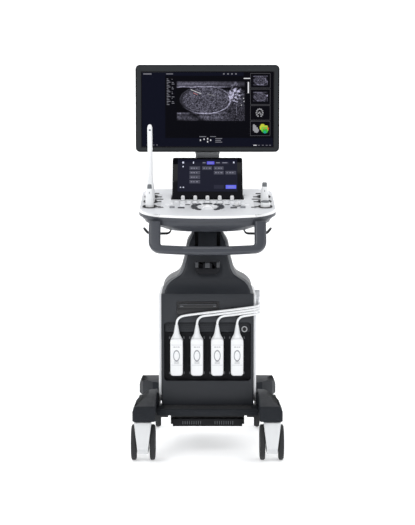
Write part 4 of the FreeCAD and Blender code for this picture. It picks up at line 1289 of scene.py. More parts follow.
@dataclass
class Console:
    """Tilted control console with its shell, holders, handle, keys and knobs."""

    encoder_x: tuple[float, ...] = (-0.088, -0.044, 0.0, 0.044, 0.088)
    cup_x: float = 0.203
    cup_rows: tuple[float, ...] = (0.150, 0.234, 0.318)
    belt: float = 0.0085

    def build(self) -> None:
        """Build every piece of the console."""
        shell = from_cad("console_lower", "console_shell", 0.0010, 3, 35.0)
        dress(shell, SLATE, "console", ["console_lower"], 42.0)
        self.deck()
        for side, sign in (("right", 1), ("left", -1)):
            self.holder(side, sign)
        grip = from_cad("handle", "grab_handle", 0.0014, 3, 30.0)
        dress(grip, SLATE, "console", ["handle"], 46.0)
        # the light strip on the grip is a painted highlight
        self.painted_grip_highlight()
        hooks = from_cad("wire_hooks", "wire_cable_hooks", 0.0, 3)
        dress(hooks, WIRE, "console", ["wire_hooks"], 60.0)
        riser = from_cad("riser", "panel_riser", 0.0018, 3)
        dress(riser, SILVER, "console", ["riser"])
        self.keys()
        self.ring()
        self.ball()
        for index, x in enumerate(self.encoder_x):
            self.knob("encoder_%d" % (index + 1), "dial_%d" % (index + 1), (x, 0.262), 0.0070, 0.016)
        self.knob("gain_knob", "gain", (0.103, 0.172), 0.0090, 0.012)

    def deck(self) -> None:
        """Build the white deck, whose lower belt is dark like the shell under it."""
        top = from_cad("console_top", "console_deck", 0.0008, 3, 35.0)
        normal = SLOPE.to_3x3() @ Vector((0.0, 0.0, 1.0))
        with editing(top):
            for depth in (self.belt, self.belt + 0.0016):
                bpy.ops.mesh.select_all(action="SELECT")
                bpy.ops.mesh.bisect(plane_co=SLOPE @ Vector((0.0, 0.0, -depth)), plane_no=normal)
        top.data.materials.append(WHITE_GRAINED.build())
        top.data.materials.append(SLATE.build())
        top.data.materials.append(RIM_WHITE.build())
        back = SLOPE.inverted()
        for face in top.data.polygons:
            spot = back @ face.center
            lies_flat = (back.to_3x3() @ face.normal).z > 0.9
            face.material_index = 1 if spot.z < -self.belt else (0 if lies_flat or spot.y > 0.2 else 2)
        dress(top, WHITE_GRAINED, "console", ["console_top"], 42.0)

    def holder(self, side: str, sign: int) -> None:
        """Dress one probe holder, line its cups and lay flat dark patches of painted shade where the holes
        beside the cups lie in shade.

        Args:
            side: "left" or "right".
            sign: -1 for the left, 1 for the right.
        """
        rail = from_cad("holder_" + side, "probe_holder_" + side, 0.0012, 3)
        dress(rail, HOLDER_GREY, "console", ["holder_" + side])
        liners, slots = [], []
        for y in self.cup_rows:
            liner = turned("liner", (sign * self.cup_x, y, -0.0355), Axis.Z,
                           [(0.0, 0.0200), (0.0008, 0.0215), (0.0350, 0.0222), (0.0358, 0.0250),
                            (0.0376, 0.0256), (0.0386, 0.0246), (0.0386, 0.0226), (0.0360, 0.0212),
                            (0.002, 0.0200)], 40)
            liners.append(placed(liner, SLOPE))
            # The dark 'slot' tiles are painted shade: flat dark patches beside each cup where the hole lies
            # in shade.
            inner = sign * (self.cup_x - 0.039)
            outer = sign * (self.cup_x - 0.018)
            x0, x1 = sorted((inner, outer))
            slot = round_block("slot", (x0, y - 0.0070, -0.0006), (x1, y + 0.0070, 0.0008), 0.0060, Axis.Z,
                               0.0)
            slots.append(placed(slot, SLOPE))
        # Two more flat dark patches of painted shade on the holder.
        for x0, x1, y0, y1 in ((0.176, 0.200, 0.366, 0.384), (0.158, 0.190, 0.270, 0.282)):
            low_x, high_x = sorted((sign * x0, sign * x1))
            slots.append(placed(round_block("slot", (low_x, y0, -0.0006), (high_x, y1, 0.0009), 0.0058,
                                            Axis.Z), SLOPE))
        dress(joined("cup_liners_" + side, liners), LINER_AND_SHADE_BLACK, "console")
        dress(joined("holder_painted_shade_" + side, slots), LINER_AND_SHADE_BLACK, "console")

    def painted_grip_highlight(self) -> None:
        """Lay a painted highlight: a light strip on the front of the handle's grip, where its rounded top
        edge catches the light.
        """
        line = round_block("painted_grip_highlight", (-0.084, -0.0156, 0.0096), (0.084, -0.0140, 0.0112), 0.0007, Axis.X,
                           0.0)
        place = Matrix.Translation((0.0, -0.3478, 0.740)) @ Matrix.Rotation(math.radians(-20.0), 4, "X")
        dress(placed(line, place), BAND_GREY, "console")

    def keys(self) -> None:
        """Build the key caps round the trackball, all on the moulding's own places."""
        white, grey, dark = [], [], []
        for index in range(11):
            x = -0.110 + 0.022 * index
            lift = 0.0006 * (abs(index - 5) % 2)
            white.append(self.cap((x - 0.0080, 0.2160), (x + 0.0080, 0.2300), 0.0044 + lift, 0.0034))
        for sign in (-1, 1):
            grey.append(self.cap((sign * 0.124 - 0.009, 0.128), (sign * 0.124 + 0.009, 0.146), 0.0042,
                                 0.0022))
            dark.append(self.cap((sign * 0.092 - 0.012, 0.124), (sign * 0.092 + 0.012, 0.133), 0.0034,
                                 0.0030))
            dark.append(self.cap((sign * 0.163 - 0.011, 0.136), (sign * 0.163 + 0.009, 0.143), 0.0022,
                                 0.0030))
            for x, y, radius in ((0.140, 0.170, 0.0110), (0.128, 0.196, 0.0080)):
                white.append(self.button((sign * x, y), radius, 0.0046))
            for x, y, w in ((0.046, 0.196, 0.009), (0.070, 0.182, 0.009)):
                dark.append(self.cap((sign * x - w, y - 0.0028), (sign * x + w, y + 0.0028), 0.0018, 0.0024))
        white.append(self.button((-0.088, 0.172), 0.0090, 0.0046))
        dress(joined("white_keys", white), KEY_WHITE, "console", ["key_bank"])
        dress(joined("grey_keys", grey), KEY_GREY, "console")
        dress(joined("dark_keys", dark), KEY_DARK, "console")

    def cap(self, low: tuple[float, float], high: tuple[float, float], height: float,
            corner: float) -> Object:
        """Build a rectangular key cap with a dished top, in place on the slope.

        Args:
            low: Left and near limits.
            high: Right and far limits.
            height: Height above the deck.
            corner: Radius of its corners.

        Returns:
            The key cap.
        """
        key = round_block("key", (*low, -0.0012), (*high, height), corner, Axis.Z, 0.0009, 5)
        with editing(key) as mesh:
            choose(mesh, key, faces=lambda f: f.normal.z > 0.98 and f.calc_area() > 2e-5)
            bpy.ops.mesh.inset(thickness=0.0012)
            bpy.ops.mesh.extrude_region_move(TRANSFORM_OT_translate={"value": (0, 0, -0.0004)})
        return placed(key, SLOPE)

    def button(self, at: tuple[float, float], radius: float, height: float) -> Object:
        """Turn a round key with a dished top, in place on the slope."""
        rings = [(0.0, radius), (height, radius), (height + 0.0008, radius - 0.0005),
                 (height + 0.0010, radius - 0.0014), (height + 0.0006, radius - 0.0026),
                 (height + 0.0003, radius * 0.4)]
        return placed(turned("button", (*at, -0.0012), Axis.Z, rings, 40), SLOPE)

    def ring(self) -> None:
        """Build the trim round the trackball: a dark ring in segments and its raised bezel."""
        bezel = self.washer("ball_bezel", [(0.0352, 0.0), (0.0350, 0.0018), (0.0336, 0.0030),
                                           (0.0300, 0.0034), (0.0255, 0.0028),
                                           (0.0232, 0.0004)], (0.0, 0.143))
        dress(bezel, KEY_WHITE, "console")
        segments = []
        for start, end in ((-32.0, 32.0), (148.0, 212.0), (40.0, 62.0), (118.0, 140.0), (72.0, 108.0),
                           (-62.0, -40.0), (-140.0, -118.0)):
            wide = abs(start) < 35.0 or start > 140.0
            inner, outer = (0.0400, 0.0585) if wide else (0.0450, 0.0570)
            segments.append(self.arc((0.0, 0.143), inner, outer, start, end, 0.0042 if wide else 0.0034))
        dress(joined("ring_keys", segments), KEY_DARK, "console")
        groove = self.arc((0.103, 0.172), 0.0125, 0.0190, -150.0, -30.0, 0.0022)
        dress(groove, KEY_DARK, "console")
        groove.name = "gain_scale"

    def arc(self, centre: tuple[float, float], inner: float, outer: float, start: float, end: float,
            height: float) -> Object:
        """Build a raised arc-shaped key by spinning its section.

        Args:
            centre: Centre of the arc on the slope.
            inner: Inner radius.
            outer: Outer radius.
            start: Start angle in degrees from +X.
            end: End angle in degrees.
            height: Height above the deck.

        Returns:
            The arc key, in place.
        """
        deselect()
        bpy.ops.mesh.primitive_plane_add(size=1.0, location=(0, 0, 0))
        thing = bpy.context.object
        thing.name = "arc_key"
        thing.scale = (outer - inner, height + 0.001, 1.0)
        thing.rotation_euler = (math.radians(90.0), 0.0, 0.0)
        thing.location = ((inner + outer) / 2, 0.0, (height - 0.001) / 2)
        settle()
        with editing(thing):
            bpy.ops.mesh.select_all(action="SELECT")
            bpy.ops.mesh.spin(steps=max(6, int(abs(end - start) / 5)), angle=-math.radians(end - start),
                              center=(0, 0, 0), axis=(0, 0, 1),
                              use_normal_flip=False)
            bpy.ops.mesh.select_all(action="SELECT")
            bpy.ops.mesh.remove_doubles(threshold=1e-7)
            bpy.ops.mesh.normals_make_consistent(inside=False)
        with editing(thing) as mesh:
            choose(mesh, thing, edges=lambda e: e.is_boundary)
            bpy.ops.mesh.edge_face_add()
            face_out()
        turn = Matrix.Rotation(math.radians(start), 4, "Z")
        placed(thing, SLOPE @ Matrix.Translation((*centre, 0.0)) @ turn)
        return round_rims(thing, 0.0008, 2, 50.0)

    def washer(self, name: str, section: Sequence[tuple[float, float]],
               centre: tuple[float, float]) -> Object:
        """Turn a flat ring with an open middle from its section.

        Args:
            name: Name of the piece.
            section: Radius and height of each point, from the outside in.
            centre: Its centre on the slope.

        Returns:
            The ring, in place.
        """
        deselect()
        bpy.ops.mesh.primitive_circle_add(vertices=72, radius=section[0][0], fill_type="NOTHING",
                                          location=(0, 0, section[0][1]))
        thing = bpy.context.object
        thing.name = name
        settle()
        points = list(section) + [(section[-1][0], -0.001), (section[0][0], -0.001), section[0]]
        with editing(thing):
            bpy.ops.mesh.select_mode(type="EDGE")
            bpy.ops.mesh.select_all(action="SELECT")
            for (radius, height), (after, after_height) in zip(points, points[1:]):
                rise = (0, 0, after_height - height)
                bpy.ops.mesh.extrude_region_move(TRANSFORM_OT_translate={"value": rise})
                bpy.ops.transform.resize(value=(after / radius, after / radius, 1.0),
                                         center_override=(0, 0, after_height))
            bpy.ops.mesh.select_all(action="SELECT")
            bpy.ops.mesh.remove_doubles(threshold=1e-6)
            bpy.ops.mesh.normals_make_consistent(inside=False)
        return placed(thing, SLOPE @ Matrix.Translation((*centre, 0.0)))

    def ball(self) -> None:
        """Build the trackball."""
        deselect()
        bpy.ops.mesh.primitive_ico_sphere_add(subdivisions=3, radius=0.0208, location=(0, 0, 0))
        ball = bpy.context.object
        ball.name = "track_ball"
        smooth_faces(ball, 2)
        low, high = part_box("trackball")
        size = (high.x - low.x) / 2 / max(vert.co.length for vert in ball.data.vertices)
        placed(ball, Matrix.Translation((low + high) / 2) @ Matrix.Scale(size * 0.998, 4))
        dress(ball, BALL, "ball", ["trackball"], 80.0)

    def knob(self, node: str, body: str, at: tuple[float, float], radius: float, height: float) -> None:
        """Turn one knob with a knurled skirt and a pointer line.

        Args:
            node: CAD node that it stands for.
            body: CAD body that it rides on.
            at: Its place on the slope.
            radius: Radius of the knob.
            height: Height of the knob.
        """
        rings = [(0.0004, radius - 0.0006), (0.0010, radius - 0.0001), (0.0026, radius - 0.0001),
                 (0.0032, radius - 0.0008), (0.0040, radius - 0.0008), (height - 0.0024, radius - 0.0009),
                 (height - 0.0008, radius - 0.0012), (height - 0.0001, radius - 0.0022),
                 (height + 0.0003, radius - 0.0036), (height, radius * 0.30)]
        knob = turned(node + "_cap", (0, 0, 0), Axis.Z, rings, 48)
        with editing(knob) as mesh:
            choose(mesh, knob, faces=lambda f: abs(f.normal.z) < 0.2
                   and 0.0045 < f.calc_center_median().z < height - 0.003
                   and int(round(math.degrees(math.atan2(f.calc_center_median().y,
                                                         f.calc_center_median().x)) / 7.5)) % 2 == 0)
            bpy.ops.mesh.inset(thickness=0.00012, use_individual=True)
            bpy.ops.transform.shrink_fatten(value=0.00045)
        place = SLOPE @ Matrix.Translation((*at, 0.0))
        placed(knob, place)
        dress(knob, KNOB_WHITE, body, [node], 30.0)
        line = round_block(node + "_pointer", (-0.0005, radius * 0.35, height - 0.0002),
                           (0.0005, radius - 0.0028, height + 0.00045), 0.0004, Axis.Z)
        dress(placed(line, place), KEY_DARK, body)
        foot = turned(node + "_collar", (0, 0, 0), Axis.Z, [(-0.0004, radius + 0.0022),
                                                            (0.0006, radius + 0.0022),
                                                            (0.0012, radius + 0.0014),
                                                           (0.0012, radius * 0.5)], 48)
        dress(placed(foot, place), KEY_GREY, "console")


# ---- touch panel -------------------------------------------------------------------------------------------
@dataclass(frozen=True)
class Display:
    """A flat lit area, drawn as thin tiles in fractions from its upper left corner."""

    place: Matrix
    width: float
    height: float
    body: str

    def tile(self, area: tuple[float, float, float, float], layer: int = 1, corner: float = 0.0) -> Object:
        """Lay one thin tile on the display.

        Args:
            area: Left, upper, right and lower limits, as fractions.
            layer: How many layers lie under it.
            corner: Radius of its corners.

        Returns:
            The tile, in place.
        """
        x0, y0, x1, y1 = area
        low = ((x0 - 0.5) * self.width, -0.00012 * layer - 0.0001, (0.5 - y1) * self.height)
        high = ((x1 - 0.5) * self.width, 0.0, (0.5 - y0) * self.height)
        if corner > 0.0:
            return placed(round_block("tile", low, high, corner, Axis.Y, 0.0, 3), self.place)
        return placed(block("tile", low, high), self.place)

    def show(self, name: str, finish: "Glow", areas: Sequence[tuple], layer: int = 1,
             corner: float = 0.0) -> None:
        """Lay several tiles of one colour as one piece.

        Args:
            name: Name of the piece.
            finish: Their material.
            areas: Limits of each tile, as fractions.
            layer: How many layers lie under them.
            corner: Radius of their corners.
        """
        tiles = [self.tile(area, layer, corner) for area in areas]
        thing = joined(name, tiles)
        thing.data.materials.clear()
        thing.data.materials.append(finish.build())
        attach(thing, self.body)


@dataclass
class TouchPanel:
    """Leaning touch panel with its lit page."""

    lean_deg: float = 33.0
    foot: Point = (0.0, -0.062, 0.908)

    def build(self) -> None:
        """Build the panel's case and glass and light its page."""
        case = from_cad("touch_case", "touch_housing", 0.0020, 3)
        dress(case, BLACK_SATIN, "touch_screen", ["touch_case"])
        glass = from_cad("touch_glass", "touch_cover", 0.0007, 3)
        dress(glass, BLACK_GLASS, "touch_screen", ["touch_glass"])
        middle = Matrix.Translation((0.0, -0.0001, 0.0965))
        lean = Matrix.Translation(self.foot) @ Matrix.Rotation(-math.radians(self.lean_deg), 4, "X")
        page = Display(lean @ middle, 0.216, 0.135, "touch_screen")
        page.show("page_ground", PAGE_NAVY, [(0.0, 0.0, 1.0, 1.0)], 0)
        page.show("page_buttons", PAGE_GREY, [(x0, y0, x1, y1) for x0, x1, y0, y1 in self.buttons()], 1,
                  0.0008)
        page.show("page_button_edges", PAGE_EDGE, [(x0, y0, x1, y0 + 0.010) for x0, x1, y0,
                                                   y1 in self.buttons()], 2)
        page.show("page_action", PAGE_BLUE, [(0.805, 0.80, 0.98, 0.915)], 1, 0.001)
        page.show("page_tab", PAGE_VIOLET, [(0.49, 0.060, 0.615, 0.155)], 1, 0.001)
        page.show("page_faint", PAGE_FAINT, [(0.607, 0.80, 0.77, 0.915), (0.41, 0.065, 0.478, 0.15),
                                             (0.63, 0.065, 0.72, 0.15), (0.73, 0.065, 0.86, 0.15)], 1, 0.001)
        page.show("page_icons", PAGE_WHITE, [(0.075, 0.070, 0.105, 0.125), (0.255, 0.070, 0.272, 0.130),
                                             (0.93, 0.070, 0.955, 0.120), (0.080, 0.205, 0.100, 0.245),
                                             (0.040, 0.855, 0.060, 0.885),
                                             (0.085, 0.855, 0.110, 0.885)], 2, 0.0012)
        page.show("page_marks", PAGE_LIGHT, list(self.marks()), 2)

    @staticmethod
    def buttons() -> list[tuple[float, float, float, float]]:
        """List the grey buttons as left, right, upper and lower limits."""
        columns = ((0.197, 0.377), (0.410, 0.574), (0.607, 0.770), (0.800, 0.980))
        rows = ((0.225, 0.325), (0.365, 0.470), (0.505, 0.610), (0.650, 0.750))
        wanted = ((0, 0), (1, 0), (2, 0), (0, 1), (2, 1), (3, 1), (0, 2), (0, 3))
        return [(*columns[column], *rows[row]) for column, row in wanted]

    def marks(self) -> Iterator[tuple[float, float, float, float]]:
        """Yield the small bars on the buttons, in place of their labels."""
        for index, (x0, _, y0, y1) in enumerate(self.buttons()):
            middle = (y0 + y1) / 2
            for number in range(3):
                left = x0 + 0.022 + number * 0.045
                yield (left, middle - 0.012, left + 0.030 - 0.006 * ((index + number) % 3), middle + 0.010)
        yield (0.42, 0.095, 0.465, 0.115)
        yield (0.51, 0.100, 0.590, 0.118)
        yield (0.645, 0.095, 0.705, 0.115)
        yield (0.750, 0.095, 0.835, 0.115)
        yield (0.840, 0.850, 0.945, 0.870)


# ---- monitor -----------------------------------------------------------------------------------------------
@dataclass(frozen=True)
class Signal:
    """A number in a shader, with arithmetic."""

    tree: bpy.types.NodeTree
    socket: bpy.types.NodeSocket

    def with_(self, operation: str, other: object = None) -> "Signal":
        """Combine this number with another one.

        Args:
            operation: Math operation name.
            other: Signal or plain number.

        Returns:
            The result.
        """
        value = other.socket if isinstance(other, Signal) else other
        return Signal(self.tree, math_node(self.tree, operation, self.socket, value))

    def __add__(self, other: object) -> "Signal":
        """Add."""
        return self.with_("ADD", other)

    def __sub__(self, other: object) -> "Signal":
        """Subtract."""
        return self.with_("SUBTRACT", other)

    def __mul__(self, other: object) -> "Signal":
        """Multiply."""
        return self.with_("MULTIPLY", other)

    def near(self, centre: float, half: float) -> "Signal":
        """Give 1 at a value, falling to 0 at a distance from it."""
        away = (self - centre).with_("ABSOLUTE")
        return (away * (-1.0 / half) + 1.0).with_("MAXIMUM", 0.0)

    def step(self, edge: float, soft: float) -> "Signal":
        """Rise from 0 to 1 round an edge; a negative softness falls instead."""
        rise = (self - edge) * (1.0 / soft) + 0.5
        return rise.with_("MINIMUM", 1.0).with_("MAXIMUM", 0.0)


@dataclass(frozen=True)
class Scan:
    """Material of a generic echo picture, drawn by shader arithmetic alone."""

    name: str
    left: float
    top: float
    width: float
    height: float
    tint: Colour = (0.62, 0.60, 0.80)

    def build(self) -> Material:
        """Build the glowing echo picture once and return it."""
        material = bpy.data.materials.new(self.name)
        material.use_nodes = True
        tree = material.node_tree
        shader = tree.nodes["Principled BSDF"]
        place = tree.nodes.new("ShaderNodeTexCoord")
        split = tree.nodes.new("ShaderNodeSeparateXYZ")
        tree.links.new(place.outputs["Object"], split.inputs[0])
        across = (Signal(tree, split.outputs["X"]) - self.left) * (1.0 / self.width)
        down = (Signal(tree, split.outputs["Z"]) - self.top) * (-1.0 / self.height)
        speck = self.noise(tree, place, 330.0, 3.0)
        cloud = self.noise(tree, place, 42.0, 4.0)
        streak = self.noise(tree, place, 130.0, 3.0)
        brightness = self.echoes(across, down, speck, cloud, streak)
        colour = tree.nodes.new("ShaderNodeMix")
        colour.data_type = "RGBA"
        colour.inputs[6].default_value = (0.001, 0.001, 0.002, 1.0)
        colour.inputs[7].default_value = (*self.tint, 1.0)
        tree.links.new(brightness.socket, colour.inputs[0])
        tree.links.new(colour.outputs[2], shader.inputs["Emission Color"])
        shader.inputs["Emission Strength"].default_value = 1.0
        shader.inputs["Base Color"].default_value = (0.0015, 0.0015, 0.0020, 1.0)
        shader.inputs["Roughness"].default_value = 0.16
        shader.inputs["Specular IOR Level"].default_value = 0.05
        return material

    @staticmethod
    def noise(tree: bpy.types.NodeTree, place: bpy.types.Node, scale: float, detail: float) -> Signal:
        """Add a noise over the object's own coordinates."""
        node = tree.nodes.new("ShaderNodeTexNoise")
        node.inputs["Scale"].default_value = scale
        node.inputs["Detail"].default_value = detail
        tree.links.new(place.outputs["Object"], node.inputs["Vector"])
        return Signal(tree, node.outputs["Fac"])

    @staticmethod
    def echoes(across: Signal, down: Signal, speck: Signal, cloud: Signal, streak: Signal) -> Signal:
        """Compose the picture: a layered band, a bright-rimmed oval, a knot of echoes and deep bands."""
        wave = cloud * 0.06 - 0.03
        level = down + wave
        grain = (speck * 0.75 + streak * 0.25 - 0.38).with_("MAXIMUM", 0.0) * 3.4
        du = (across - 0.42) * (1.0 / 0.352)
        dv = (down - 0.470) * (1.0 / 0.330)
        reach = (du * du + dv * dv).with_("SQRT") + (streak - 0.5) * 0.07
        oval = reach.step(0.95, -0.10)
        rim_place = (du * 0.75 + dv * 0.65).step(0.10, 0.9)
        rim = reach.near(1.03, 0.05) * (rim_place * 0.8 + 0.10)
        skin = (level.near(0.070, 0.09) * (across.step(0.60, -0.7) * 0.20 + 0.10)
                + level.near(0.145, 0.022) * across.step(0.70, -0.3) * 0.65)
        tissue = oval * (grain * 0.30 + 0.035)
        deep = ((level.near(0.80, 0.030) * 0.50 + level.near(0.905, 0.10) * 0.20)
                * across.step(0.70, -0.12) * (streak * 2.4 - 0.5))
        shade = reach.step(1.06, 0.05) * grain * 0.16 * across.step(0.30, 0.3) * down.step(0.24, 0.08)
        knot = (across - 0.845).with_("ABSOLUTE") + (down - 0.34).with_("ABSOLUTE") * 0.42
        blobs = knot.step(0.115, -0.09) * (streak - 0.50).with_("MAXIMUM", 0.0) * 7.5
        line = across.near(0.868, 0.006) * down.step(0.56, 0.02) * down.step(0.86, -0.02) * 0.35
        crescent = ((across * 1.25 + down * -0.9 + 0.46).near(0.02, 0.12)
                    * reach.step(1.02, 0.05) * down.step(0.45, 0.1))
        sides = (across.step(0.012, 0.02) * across.step(0.985, -0.02)
                 * down.step(0.006, 0.01) * down.step(0.99, -0.02))
        total = skin + tissue + rim + deep.with_("MAXIMUM", 0.0) + shade + blobs + line
        grained = total * (grain * 0.8 + 0.35) * (crescent * -0.9 + 1.0)
        return (grained * sides).with_("MINIMUM", 1.0).with_("MAXIMUM", 0.0)


@dataclass
class Monitor:
    """Flat monitor: back, bezel, panel and what its screen shows."""

    width: float = 0.475

    def build(self) -> None:
        """Build the monitor's pieces and light the screen."""
        back = from_cad("monitor_back", "monitor_rear", 0.0024, 4)
        dress(back, BEZEL, "monitor", ["monitor_back"])
        self.bezel()
        panel = from_cad("monitor_panel", "monitor_screen", 0.0005, 2)
        dress(panel, BLACK_GLASS, "monitor", ["monitor_panel"])
        self.screen()
        self.back_details()

    def bezel(self) -> None:
        """Build the bezel, with its dark outer edge, its sloped front and its inner step."""
        low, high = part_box("monitor_bezel")
        plan_low, plan_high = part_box("monitor_panel")
        outer = round_block("monitor_frame", low, high, 0.016, Axis.Y, 0.0, 10)
        with editing(outer) as mesh:
            choose(mesh, outer, faces=lambda f: f.normal.y < -0.95)
            bpy.ops.mesh.inset(thickness=0.0045)
        cutter = block("bezel_cutter", (plan_low.x, low.y - 0.02, plan_low.z),
                       (plan_high.x, high.y + 0.02, plan_high.z))
        carve(outer, cutter)
        round_rims(outer, 0.0011, 3, 40.0)
        outer.data.materials.append(BEZEL.build())
        outer.data.materials.append(BEZEL_EDGE.build())
        for face in outer.data.polygons:
            middle = face.center
            at_edge = min(middle.x - low.x, high.x - middle.x, middle.z - low.z, high.z - middle.z) < 0.0044
            face.material_index = 1 if at_edge or abs(face.normal.y) < 0.3 else 0
        dress(outer, BEZEL, "monitor", ["monitor_bezel"], 40.0)
        self.bezel_line(low, plan_low, plan_high)

    def bezel_line(self, low: Vector, plan_low: Vector, plan_high: Vector) -> None:
        """Lay the raised inner rim that catches the light round the screen.

        Args:
            low: Lowest corner of the bezel.
            plan_low: Lowest corner of the panel.
            plan_high: Highest corner of the panel.
        """
        bars = []
        width = 0.0030
        z0, z1 = plan_low.z, plan_high.z
        x0, x1 = plan_low.x, plan_high.x
        y0, y1 = low.y - 0.0004, low.y + 0.004
        bars.append(round_block("bar", (x0 - width, y0, z0 - width), (x1 + width, y1, z0), 0.0008, Axis.X,
                                0.0, 2))
        bars.append(round_block("bar", (x0 - width, y0, z1), (x1 + width, y1, z1 + width), 0.0008, Axis.X,
                                0.0, 2))
        bars.append(round_block("bar", (x0 - width, y0, z0), (x0, y1, z1), 0.0008, Axis.Z, 0.0, 2))
        bars.append(round_block("bar", (x1, y0, z0), (x1 + width, y1, z1), 0.0008, Axis.Z, 0.0, 2))
        dress(joined("bezel_rim", bars), BEZEL_EDGE, "monitor")

    def back_details(self) -> None:
        """Add the vents and the screws to the monitor's back."""
        vents = []
        for index in range(16):
            x = -0.120 + index * 0.016
            vents.append(round_block("vent", (x - 0.0045, 0.0550, 1.312), (x + 0.0045, 0.0566, 1.3165),
                                     0.002, Axis.Y))
        dress(joined("monitor_vents", vents), PORT_BLACK, "monitor")
        screws = [screw("screw", (x, 0.0557, z), Axis.Y) for x in (-0.05, 0.05) for z in (1.182, 1.282)]
        dress(joined("monitor_screws", screws), STEEL, "monitor")

    def screen(self) -> None:
        """Light the screen: columns, the echo picture, thumbnails and small marks."""
        low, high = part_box("monitor_panel")
        height = high.z - low.z - 0.0024
        middle = Matrix.Translation((0.0, low.y, (low.z + high.z) / 2))
        view = Display(middle, self.width, height, "monitor")
        view.show("screen_ground", SCREEN_BLACK, [(0.0, 0.0, 1.0, 1.0)], 0)
        view.show("screen_column", SCREEN_NAVY, [(0.0, 0.0, 0.178, 1.0), (0.178, 0.0, 0.775, 0.047),
                                                 (0.178, 0.885, 1.0, 1.0)], 1)
        left, top, right, bottom = 0.262, 0.118, 0.790, 0.658
        picture = Scan("Echo picture", (left - 0.5) * self.width, middle.translation.z + (0.5 - top) * height,
                       (right - left) * self.width, (bottom - top) * height)
        view.show("screen_echo", picture, [(left, top, right, bottom)], 2)
        view.show("screen_frames", SCREEN_FRAME, list(self.frames()), 2)
        view.show("screen_white_marks", SCREEN_WHITE, list(self.white_marks()), 3)
        view.show("screen_dim_marks", SCREEN_DIM, list(self.dim_marks()), 3)
        self.thumbnails(view)
        self.needle(view)

    def needle(self, view: Display) -> None:
        """Draw the slanted needle line with its red and white runs."""
        for name, finish, start, end, half in (("needle_white", SCREEN_WHITE, (0.372, 0.232), (0.452, 0.288),
                                                0.0009),
                                               ("needle_red", NEEDLE_RED, (0.392, 0.276), (0.424, 0.300),
                                                0.0008),
                                               ("needle_tip", SCREEN_SOFT, (0.500, 0.292), (0.560, 0.318),
                                                0.0007)):
            x0, y0 = (start[0] - 0.5) * view.width, (0.5 - start[1]) * view.height
            x1, y1 = (end[0] - 0.5) * view.width, (0.5 - end[1]) * view.height
            length = math.hypot(x1 - x0, y1 - y0)
            bar = block(name, (-length / 2, -0.0008, -half), (length / 2, 0.0, half))
            turn = Matrix.Rotation(-math.atan2(y1 - y0, x1 - x0), 4, "Y")
            placed(bar, view.place @ Matrix.Translation(((x0 + x1) / 2, 0.0, (y0 + y1) / 2)) @ turn)
            bar.data.materials.append(finish.build())
            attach(bar, view.body)

    def thumbnails(self, view: Display) -> None:
        """Fill the four thumbnails at the right.

        Args:
            view: The screen.
        """
        small = [(0.846, 0.045, 0.958, 0.180), (0.846, 0.262, 0.958, 0.395)]
        for index, area in enumerate(small):
            left, top, right, bottom = area
            centre = view.place.translation.z
            picture = Scan("Small echo picture %d" % (index + 1), (left - 0.5) * view.width - 0.004,
                           centre + (0.5 - top) * view.height + 0.003, (right - left) * view.width + 0.012,
                           (bottom - top) * view.height + 0.008, (0.50, 0.48, 0.66))
            view.show("thumb_echo_%d" % (index + 1), picture, [area], 3, 0.004)
        dots = []
        for index in range(11):
            angle = math.radians(-60.0 + index * 30.0)
            dots.append((0.897 + 0.024 * math.cos(angle), 0.545 - 0.052 * math.sin(angle)))
        dots += [(0.897, 0.538), (0.905, 0.560), (0.888, 0.552)]
        view.show("thumb_dots", SCREEN_SOFT, [(x - 0.006, y - 0.009, x + 0.006, y + 0.009) for x,
                                              y in dots], 3, 0.0018)
        fan = [(0.846, 0.700, 0.862, 0.790), (0.856, 0.715, 0.872, 0.810), (0.866, 0.740, 0.884, 0.815),
               (0.880, 0.765, 0.892, 0.800)]
        view.show("thumb_fan", SCREEN_SOFT, fan, 3, 0.003)
        for name, finish, areas in (("thumb_yellow", MAP_YELLOW, [(0.898, 0.715, 0.960, 0.775),
                                                                  (0.905, 0.695, 0.935, 0.730)]),
                                    ("thumb_lime", MAP_LIME, [(0.910, 0.735, 0.964, 0.800)]),
                                    ("thumb_green", MAP_GREEN, [(0.920, 0.762, 0.958, 0.818)]),
                                    ("thumb_red", MAP_RED, [(0.955, 0.742, 0.968, 0.775),
                                                            (0.928, 0.752, 0.940, 0.765)]),
                                    ("thumb_teal", MAP_TEAL, [(0.928, 0.790, 0.948, 0.824)])):
            layer = {"thumb_yellow": 3, "thumb_lime": 4, "thumb_green": 5, "thumb_red": 6,
                     "thumb_teal": 6}[name]
            view.show(name, finish, areas, layer, 0.0045)

    @staticmethod
    def frames() -> Iterator[tuple[float, float, float, float]]:
        """Yield the thin borders of the thumbnails."""
        x0, x1, thin, tall = 0.826, 0.978, 0.0022, 0.004
        for y0, y1 in ((0.013, 0.212), (0.224, 0.434), (0.446, 0.646), (0.658, 0.856)):
            yield (x0, y0, x1, y0 + tall)
            yield (x0, y1 - tall, x1, y1)
            yield (x0, y0, x0 + thin, y1)
            yield (x1 - thin, y0, x1, y1)

    @staticmethod
    def white_marks() -> Iterator[tuple[float, float, float, float]]:
        """Yield the bright bars of the screen."""
        yield (0.806, 0.130, 0.816, 0.280)
        yield (0.775, 0.076, 0.825, 0.088)
        for x, y in ((0.442, 0.905), (0.470, 0.892), (0.497, 0.925), (0.520, 0.905), (0.497, 0.885)):
            yield (x, y, x + 0.008, y + 0.020)
        for x, y in ((0.775, 0.385), (0.772, 0.345), (0.755, 0.435)):
            yield (x, y, x + 0.0055, y + 0.012)
        yield (0.056, 0.972, 0.066, 0.986)
        yield (0.850, 0.978, 0.875, 0.988)

